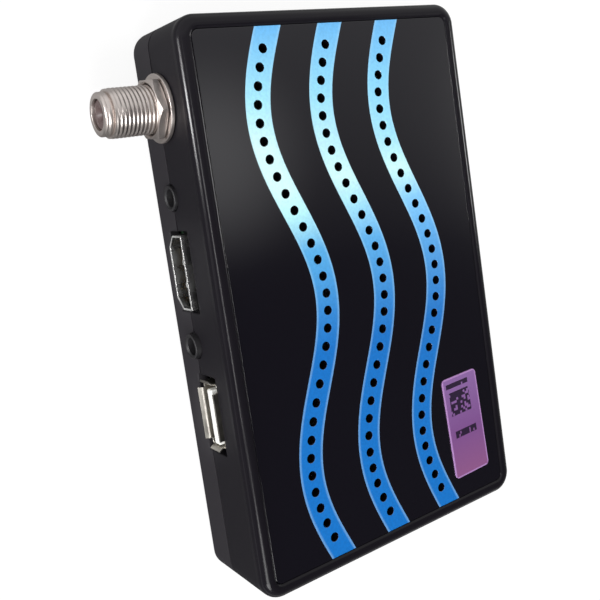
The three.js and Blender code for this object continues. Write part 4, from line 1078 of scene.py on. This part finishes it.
class RECEIVER_OT_nut_and_washer(bpy.types.Operator):
    """Makes the hexagon nut and the washer on the antenna socket"""

    bl_idname = "receiver.nut_and_washer"
    bl_label = "Nut and washer"

    def execute(self, context):
        low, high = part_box("lock_washer")
        axis = middle_of("antenna_socket")
        centre = (axis.x, 0.0, axis.z)
        outer, bore, soft, chamfer = (v * MM for v in (6.67, 4.95, 0.16, 0.3))
        profile = [
            (bore, low.y + soft), (bore + soft, low.y), (outer - soft, low.y),
            (outer, low.y + soft), *arc(soft, 0, 90, 4, outer - soft, high.y - soft),
            *arc(soft, 90, 180, 3, bore + soft, high.y - soft),
        ]
        washer = new_object("washer", turned(profile, 96, centre, "joined"))
        nickel = nickel_plate()
        complete(washer, nickel, "nickel", "lock_washer", body="washer")

        # The rim's radius is flat / cos(angle from the flat's middle), a little less at corners,
        # and the end faces slope away from a ring just inside the flats.
        low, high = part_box("hex_nut")
        sides, flat = 120, 5.55 * MM
        corner, ring = 2 * flat / math.sqrt(3), 0.97 * flat
        first = math.radians(54)
        angle = np.mod(2 * np.pi * np.arange(sides) / sides - first, math.pi / 3)
        edge = np.minimum(flat / np.cos(angle - math.pi / 6), 0.99 * corner)
        fall = 0.45 * MM / (corner - flat) * (edge - ring)
        profile = [
            (bore + chamfer, low.y), (ring, low.y), (edge, low.y + 0.5 * fall),
            (edge, high.y - fall), (ring, high.y), (bore + chamfer, high.y),
            (bore, high.y - chamfer), (bore, low.y + chamfer),
        ]
        nut = new_object("nut", turned(profile, sides, centre, "joined"))
        complete(nut, nickel, "nickel", "hex_nut", body="nut", sharp=20.0)
        return {"FINISHED"}


def socket_legs(x, half_width, sheet, top):
    """Four legs under a sheet-metal socket, from the board up into its side sheets."""
    inner = case_box()["face"] - WALL
    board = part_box("main_board")[1].z + SEAT
    half_x, half_y, spacing = 0.48 * sheet, 0.9 * MM, 2.2 * MM
    shapes = []
    for side in (-1, 1):
        for step in (1, 3):
            middle, y = x + side * (half_width - sheet / 2), inner - step * spacing
            shapes.append(slab((middle - half_x, y - half_y, board),
                (middle + half_x, y + half_y, top)))
    return shapes


class RECEIVER_OT_video_socket(bpy.types.Operator):
    """Makes the digital video socket: folded shell with two springs, tongue and contacts"""

    bl_idname = "receiver.video_socket"
    bl_label = "Video socket"

    def execute(self, context):
        low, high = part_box("video_socket_shell")
        front, rear = high.y, low.y
        width, height, sheet, soft = (v * MM for v in (15.0, 6.0, 0.45, 0.14))

        def outline(inset, radius):
            """The shell's section: a rectangle with its two lower corners cut off."""
            half, top = width / 2 - inset, height / 2 - inset
            shoulder, base = 2.2 * MM - height / 2, width / 2 - 2.4 * MM - inset / 2
            corners = np.array([[-base, -top], [base, -top], [half, shoulder], [half, top],
                [-half, top], [-half, shoulder]])
            return rounded(corners + [VIDEO_X, VIDEO_Z], radius, 4)

        # Inset, corner radius in millimetres, and depth of each ring.
        sections = [
            (soft, 0.5, rear), (0, 0.6, rear + soft),
            *[(i, 0.55, y) for i, y in arc(soft, 180, 90, 5, soft, front - soft)],
            *[(i, 0.3, y) for i, y in arc(soft, 90, 0, 5, sheet - soft, front - soft)],
            (sheet, 0.25, rear + soft), (sheet - soft, 0.3, rear),
        ]
        rings = [facing(outline(i, r * MM), y) for i, r, y in sections]
        shell = new_object("video_shell", loft(rings, "joined"))
        # Each spring dips within a quarter of its length and rises slowly over the rest.
        span = np.linspace(0, 1, 13)
        rising = 0.5 + 0.5 * np.cos((span - 0.25) * np.pi / 0.75)
        dip = np.where(span < 0.25, np.sin(span * 2 * np.pi), rising)
        under = VIDEO_Z + height / 2 - sheet
        path = np.stack([0 * span, front - 0.06 * MM - 5.0 * MM * span,
            under - 0.08 * MM - 0.9 * MM * dip], axis=1)
        blade = rounded(rectangle(1.1 * MM, 0.4 * MM), 0.1 * MM, 2)
        springs = [sweep(path + [VIDEO_X + x * MM, 0, 0], blade, (1, 0, 0)) for x in (-2.2, 2.2)]
        combine(shell, springs + socket_legs(VIDEO_X, width / 2, sheet, VIDEO_Z), "UNION")
        steel = sheet_steel("nickel-plated steel sheet", "#d2d2d1", 0.25)
        complete(shell, steel, "socket_steel", "video_socket_shell")

        low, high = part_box("video_socket_insert")
        back, half, thick = rear - SEAT, (high.x - low.x) / 2, 1.5 * MM
        body = new_object("video_tongue", slab((VIDEO_X - half, low.y, low.z),
            (VIDEO_X + half, back, high.z), 0.3 * MM))
        combine(body, [tongue_shape(11.0 * MM, thick, VIDEO_X, VIDEO_Z, back - 0.5 * MM, high.y,
            (0.2 * MM, 0.15 * MM), 4)], "UNION")
        complete(body, moulded_resin("glass-filled nylon", "#202022", 0.5),
            "black_resin", "video_socket_insert")

        pads = []
        half_x, half_z, pitch = 0.2 * MM, 0.03 * MM, 1.0 * MM
        for count, side in ((10, 1), (9, -1)):
            z = VIDEO_Z + side * thick / 2
            for x in VIDEO_X + pitch * (np.arange(count) - (count - 1) / 2):
                pads.append(slab((x - half_x, back + 0.4 * MM, z - half_z),
                    (x + half_x, high.y - 0.6 * MM, z + half_z)))
        complete(new_object("video_contacts", both(pads)), gold_plate(), "gold")
        return {"FINISHED"}


class RECEIVER_OT_data_socket(bpy.types.Operator):
    """Makes the data socket: folded shell with flared lips, white tongue and four contacts"""

    bl_idname = "receiver.data_socket"
    bl_label = "Data socket"

    def execute(self, context):
        low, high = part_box("data_socket_shell")
        front, rear = high.y, low.y
        reach, side_flare, top_flare, bottom_flare = (v * MM for v in (1.1, 0.65, 0.2, 0.7))
        width, height, sheet, soft = (v * MM for v in (13.1, 5.7, 0.4, 0.08))
        tube = front - reach
        # Inset, corner radius in millimetres, and depth of each ring.
        sections = [
            (soft, 0.6, rear), (0, 0.65, rear + soft), (0, 0.65, tube - soft), (soft, 0.6, tube),
            (sheet - soft, 0.35, tube), (sheet, 0.3, tube - soft), (sheet, 0.3, rear + soft),
            (sheet - soft, 0.35, rear),
        ]
        rings = [facing(rounded(rectangle(width - 2 * i, height - 2 * i, DATA_X, DATA_Z),
            r * MM, 5), y) for i, r, y in sections]
        shell = new_object("data_shell", loft(rings, "joined"))
        # Each lip bends outwards as a power of its length, and the lower one starts late.
        part = np.linspace(0, 1, 9)
        y = np.concatenate([[tube - 0.5 * MM], tube + reach * part])
        rise = np.concatenate([[0.0], part**1.5])
        late = (np.clip((y - tube) / reach - 0.3, 0, 1) / 0.7) ** 1.5
        x, z = 0 * y + DATA_X, 0 * y + DATA_Z
        lip, edge, lip_soft = 0.94 * sheet, 3.8 * MM, 0.12 * MM
        shapes = []
        for side, flare, bend, wide in ((-1, bottom_flare, late, 10.6), (1, top_flare, rise, 9.6)):
            flat = rounded(rectangle(wide * MM, lip), lip_soft, 3)
            up = side * ((height - sheet) / 2 + flare * bend)
            shapes.append(sweep(np.column_stack([x, y, z + up]), flat, (1, 0, 0)))
            out = side * ((width - sheet) / 2 + side_flare * rise)
            shapes.append(sweep(np.column_stack([x + out, y, z]),
                rounded(rectangle(edge, lip), lip_soft, 3), (0, 0, 1)))
        combine(shell, shapes + socket_legs(DATA_X, width / 2, sheet, DATA_Z), "UNION")
        steel = sheet_steel("tin-plated steel sheet", "#b9b5ad", 0.34)
        complete(shell, steel, "socket_steel", "data_socket_shell")

        low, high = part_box("data_socket_insert")
        half, thick, back = (high.x - low.x) / 2, 1.84 * MM, rear - 0.5 * MM
        tongue_top = DATA_Z + height / 2 - sheet - 0.3 * MM
        body = new_object("data_tongue", slab((DATA_X - half, low.y, low.z),
            (DATA_X + half, rear - SEAT, tongue_top - 0.02 * MM), 0.3 * MM))
        combine(body, [tongue_shape(11.1 * MM, thick, DATA_X, tongue_top - thick / 2, back, high.y,
            (0.12 * MM, 0.08 * MM), 3)], "UNION")
        combine(body, [slab((DATA_X - half + 0.03 * MM, back, low.z + 0.02 * MM),
            (DATA_X + half - 0.03 * MM, case_box()["face"] - WALL - FIT,
            DATA_Z - height / 2 - FIT), 0.3 * MM)], "UNION")
        complete(body, moulded_resin("white liquid-crystal polymer", "#f8f8f4", 0.45),
            "white_resin", "data_socket_insert")

        gold = gold_plate()
        part = np.linspace(0, 1, 15)
        for i in range(1, 5):
            low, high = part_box(f"data_contact_{i}")
            middle, span = (low + high) / 2, high - low
            x, y = 0 * part + middle.x, high.y - span.y * part
            z = middle.z + 0.2 * span.z - 0.35 * span.z * np.sin(np.pi * part)
            blade = rounded(rectangle(span.x, 0.6 * span.z), 0.25 * span.z, 2)
            path = np.column_stack([x, y, z])
            contact = new_object(f"contact_{i}", sweep(path, blade, (1, 0, 0)))
            complete(contact, gold, "gold", f"data_contact_{i}")
        return {"FINISHED"}


class RECEIVER_OT_round_jacks(bpy.types.Operator):
    """Makes the power inlet with its pin, and the audio-video outlet"""

    bl_idname = "receiver.round_jacks"
    bl_label = "Round jacks"

    def execute(self, context):
        nylon = moulded_resin("glass-filled nylon jack", "#1e1d20", 0.5)
        box_front = case_box()["face"] - WALL - FIT
        barrel, bore, soft, flare, base = (v * MM for v in (2.5, 1.8, 0.2, 0.3, 1.2))
        pin_bore = 0.77 * MM
        for name, node, x in (
                ("power_jack", "power_inlet", POWER_X), ("outlet_jack", "av_jack", OUTLET_X)):
            low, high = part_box(node)
            centre, bore_end = (x, 0.0, JACK_Z), low.y + base
            piece = new_object(name, slab(low, (high.x, box_front, high.z), 0.35 * MM))
            outside = [(barrel, box_front - 1.0 * MM), (barrel, high.y - soft),
                *arc(soft, 30, 90, 3, barrel - soft, high.y - soft)]
            combine(piece, [turned(outside, 48, centre)], "UNION")
            inside = [(bore, bore_end), (bore, high.y - 0.35 * MM),
                (bore + flare, high.y - 0.05 * MM), (bore + flare, high.y + OVER)]
            tools = [turned(inside, 48, centre)]
            if node == "power_inlet":
                hole = [(pin_bore, low.y - OVER), (pin_bore, bore_end + OVER)]
                tools.append(turned(hole, 24, centre))
            combine(piece, tools, "DIFFERENCE")
            complete(piece, nylon, "black_resin", node)
        low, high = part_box("power_pin")
        radius, soft = 0.65 * MM, 0.15 * MM
        dome = [(radius * math.cos(a), high.y - radius + radius * math.sin(a))
            for a in np.radians([0, 22, 45, 68, 90])]
        pin = new_object("power_pin_tip", turned(
            [(radius - soft, low.y), (radius, low.y + soft), *dome], 28, (POWER_X, 0.0, JACK_Z)))
        complete(pin, nickel_plate(), "nickel", "power_pin")
        return {"FINISHED"}


class RECEIVER_OT_remote_window(bpy.types.Operator):
    """Makes the smoked window in the far side"""

    bl_idname = "receiver.remote_window"
    bl_label = "Remote window"

    def execute(self, context):
        low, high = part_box("ir_window")
        width, height = REMOTE_SIZE
        step, soft = high.y - 0.9 * MM, 0.25 * MM
        # Growth, corner radius in millimetres, and depth of each ring.
        sections = [
            (-2 * FIT - 2 * soft, 0.25, low.y), (-2 * FIT - 0.6 * soft, 0.35, low.y + 0.3 * soft),
            (-2 * FIT, 0.4, low.y + soft), (-2 * FIT, 0.4, step), (2.0 * MM, 0.4, step),
            (2.0 * MM, 0.4, high.y),
        ]
        rings = [facing(rounded(rectangle(width + g, height + g, REMOTE_X, REMOTE_Z), r * MM, 5), y)
            for g, r, y in sections]
        piece = new_object("remote_window", loft(rings))
        complete(piece, smoked_acrylic(), "smoked_lens", "ir_window")
        return {"FINISHED"}


class RECEIVER_OT_board(bpy.types.Operator):
    """Finishes the main board and what it carries"""

    bl_idname = "receiver.board"
    bl_label = "Board and components"

    def execute(self, context):
        finishes = (
            (solder_mask_board(), ["main_board"]),
            (printed_chip(), ["main_chip", "memory_chip", "flash_chip", "lnb_regulator",
                "tuner_chip", "ir_receiver"]),
            (sheet_steel("tin-plated steel can", "#b9bbbc", 0.34),
                ["clock_crystal", "tuner_can", "tuner_lid"]),
            (capacitor_sleeve(), [f"capacitor_{i}" for i in range(1, 5)]),
            (anodised_fins(), ["heat_sink"]),
            (coil_core(), ["power_coil_1", "power_coil_2"]),
            (clear_epoxy(), ["status_led"]),
        )
        for material, names in finishes:
            for name in names:
                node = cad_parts[name]
                node.data.materials.clear()
                node.data.materials.append(material)
        return {"FINISHED"}


class RECEIVER_OT_stage(bpy.types.Operator):
    """Makes the floor, the lamps, the world and the camera"""

    bl_idname = "receiver.stage"
    bl_label = "Stage"

    def execute(self, context):
        self.make_floor()
        self.make_world(context.scene)
        for lamp in LAMPS:
            self.make_lamp(*lamp)
        self.make_camera(context.scene)
        context.scene.view_settings.view_transform = "Standard"
        return {"FINISHED"}

    @staticmethod
    def make_floor():
        """A wide pale floor that reads white and keeps the object's shadow.

        Its glow in reflections is painted: dark near the case as painted shade, grey past the
        antenna socket and white further off, with two painted white patches before the sockets.
        """
        corners = rectangle(2 * FLOOR_HALF, 2 * FLOOR_HALF)
        floor = new_object("floor", (upright(corners, 0.0), [[0, 1, 2, 3]]))
        material = bpy.data.materials.new("pale floor")
        material.use_nodes = True
        tree = material.node_tree
        tree.nodes.clear()
        path = add_node(tree, "LightPath").outputs
        seen = add_node(tree, "Math", [path["Is Glossy Ray"], path["Is Transmission Ray"]],
            operation="MAXIMUM")
        seen = add_node(tree, "Math", [seen, path["Is Camera Ray"]], operation="MAXIMUM")
        paint = add_node(tree, "BsdfDiffuse", {"Color": FLOOR_COLOUR})
        place = add_node(tree, "TexCoord").outputs["Object"]
        # Painted shade and light in reflections: the floor's glow is dark near the case, grey past
        # the antenna socket and white further off.
        away = add_node(tree, "VectorMath", [place], operation="LENGTH")
        far = add_node(tree, "MapRange", {
            "Value": away.outputs["Value"], "From Min": 0.12, "From Max": 0.30, "To Min": 0.03})
        beside = add_node(tree, "MapRange", {
            "Value": add_node(tree, "SeparateXYZ", [place]).outputs["X"],
            "From Min": 0.033, "From Max": 0.042, "To Max": 0.3})
        shade = add_node(tree, "Math", [far, beside], operation="MAXIMUM")
        # Painted reflections: two white patches in the floor's glow, seen only in mirrored rays.
        for (x, y), (reach_x, reach_y) in REFLECTED_PATCHES:
            spread = add_node(tree, "Mapping", {
                "Vector": place, "Location": (-x / reach_x, -y / reach_y, 0.0),
                "Scale": (1 / (reach_x * MM), 1 / (reach_y * MM), 0.0)})
            apart = add_node(tree, "VectorMath", [spread], operation="LENGTH")
            patch_glow = add_node(tree, "MapRange", {
                "Value": apart.outputs["Value"], "From Min": 1.3, "From Max": 0.9})
            shade = add_node(tree, "Math", [shade, patch_glow], operation="MAXIMUM")
        level = add_node(tree, "Math", [shade, path["Is Camera Ray"]], operation="MAXIMUM")
        level = add_node(tree, "Math", [level, FLOOR_LEVEL], operation="MULTIPLY")
        strength = add_node(tree, "Math", [seen, level], operation="MULTIPLY")
        glow = add_node(tree, "Emission", {"Color": (1, 1, 1, 1), "Strength": strength})
        surface = add_node(tree, "AddShader", [paint, glow])
        add_node(tree, "OutputMaterial", {"Surface": surface})
        floor.data.materials.append(material)

    @staticmethod
    def make_world(scene):
        """White to the eye, a soft even fill, and in reflections a graded studio.

        Low down it brightens towards +X. Overhead it is darker, with grades along X and one pale
        patch behind the case.
        """
        world = bpy.data.worlds.new("plain studio")
        scene.world = world
        world.use_nodes = True
        tree = world.node_tree
        tree.nodes.clear()
        direction = add_node(tree, "TexCoord").outputs["Generated"]
        axes = add_node(tree, "SeparateXYZ", [direction]).outputs
        along = add_node(tree, "MapRange", {"Value": axes["X"], "From Min": -0.5, "From Max": 0.5})
        grades = ((-0.14, 0.03), (0.0, 0.18), (0.14, 0.3), (0.3, 0.8))
        tone = add_node(tree, "ValToRGB", [along], stops=[
            (x + 0.5, (v, v, v, 1)) for x, v in grades])
        low = add_node(tree, "MapRange", {
            "Value": axes["X"], "From Min": 0.02, "From Max": 0.3, "To Min": 0.2, "To Max": 0.9})
        height = add_node(tree, "MapRange", {"Value": axes["Z"], "From Min": 0.3, "From Max": 0.6})
        apart = add_node(tree, "VectorMath", [direction, (0.0, -0.45, 0.89)], operation="DISTANCE")
        patch = add_node(tree, "MapRange", {
            "Value": apart.outputs["Value"], "From Min": 0.15, "From Max": 0.02, "To Max": 0.65},
            interpolation_type="SMOOTHSTEP")
        graded = add_node(tree, "Mix", {SHARE: height, VALUE_A: low, VALUE_B: tone})
        overhead = add_node(tree, "Math", [graded, patch], operation="ADD")
        path = add_node(tree, "LightPath").outputs
        mirrored = add_node(tree, "Math", [path["Is Glossy Ray"], path["Is Transmission Ray"]],
            operation="MAXIMUM")
        level = add_node(tree, "Mix", {SHARE: mirrored, VALUE_A: FILL_LEVEL, VALUE_B: overhead})
        strength = add_node(tree, "Mix", {
        SHARE: path["Is Camera Ray"], VALUE_A: level, VALUE_B: 1.0})
        sky = add_node(tree, "Background", {"Color": (1, 1, 1, 1), "Strength": strength})
        add_node(tree, "OutputWorld", {"Surface": sky})

    @staticmethod
    def make_lamp(name, place, span, power):
        """A rectangular soft light that faces the object."""
        lamp = bpy.data.lights.new(name, "AREA")
        lamp.shape = "RECTANGLE"
        lamp.size, lamp.size_y = span
        lamp.energy = power
        made = bpy.data.objects.new(name, lamp)
        made.location = place
        toward = LAMP_TARGET - Vector(place)
        made.rotation_euler = toward.to_track_quat("-Z", "Y").to_euler()
        bpy.context.scene.collection.objects.link(made)

    @staticmethod
    def make_camera(scene):
        """The photograph's view: from above the connector side, with the case's length upright."""
        lens = bpy.data.cameras.new("camera")
        lens.sensor_width = 36.0
        lens.lens = 49.21
        lens.shift_y = -0.11667
        lens.clip_start, lens.clip_end = 0.005, 20.0
        camera = bpy.data.objects.new("camera", lens)
        camera.location = (29.548 * MM, 93.89 * MM, 156.254 * MM)
        camera.rotation_euler = Euler(np.radians((-0.37, -33.054, -99.865)))
        scene.collection.objects.link(camera)
        scene.camera = camera


PIECES = (
    RECEIVER_OT_lower_case,
    RECEIVER_OT_upper_case,
    RECEIVER_OT_gloss_panel,
    RECEIVER_OT_sticker,
    RECEIVER_OT_feet,
    RECEIVER_OT_screws,
    RECEIVER_OT_antenna_socket,
    RECEIVER_OT_nut_and_washer,
    RECEIVER_OT_video_socket,
    RECEIVER_OT_data_socket,
    RECEIVER_OT_round_jacks,
    RECEIVER_OT_remote_window,
    RECEIVER_OT_board,
    RECEIVER_OT_stage,
)


class RECEIVER_PT_pieces(bpy.types.Panel):
    """Lists the receiver's pieces with its sizes and colours"""

    bl_idname = "RECEIVER_PT_pieces"
    bl_label = "Satellite receiver"
    bl_space_type = "VIEW_3D"
    bl_region_type = "UI"
    bl_category = "Receiver"

    def draw(self, context):
        for piece in PIECES:
            self.layout.operator(piece.bl_idname)
        for group in (context.scene.receiver_sizes, context.scene.receiver_colours):
            column = self.layout.column()
            for name in group.__annotations__:
                column.prop(group, name)


CLASSES = (ReceiverSizes, ReceiverColours, *PIECES, RECEIVER_PT_pieces)


def register():
    for kind in CLASSES:
        bpy.utils.register_class(kind)
    bpy.types.Scene.receiver_sizes = bpy.props.PointerProperty(type=ReceiverSizes)
    bpy.types.Scene.receiver_colours = bpy.props.PointerProperty(type=ReceiverColours)


def unregister():
    del bpy.types.Scene.receiver_colours
    del bpy.types.Scene.receiver_sizes
    for kind in reversed(CLASSES):
        bpy.utils.unregister_class(kind)


def main():
    """Makes every piece in order."""
    register()
    for piece in PIECES:
        group, name = piece.bl_idname.split(".")
        getattr(getattr(bpy.ops, group), name)()


if __name__ == "__main__":
    main()
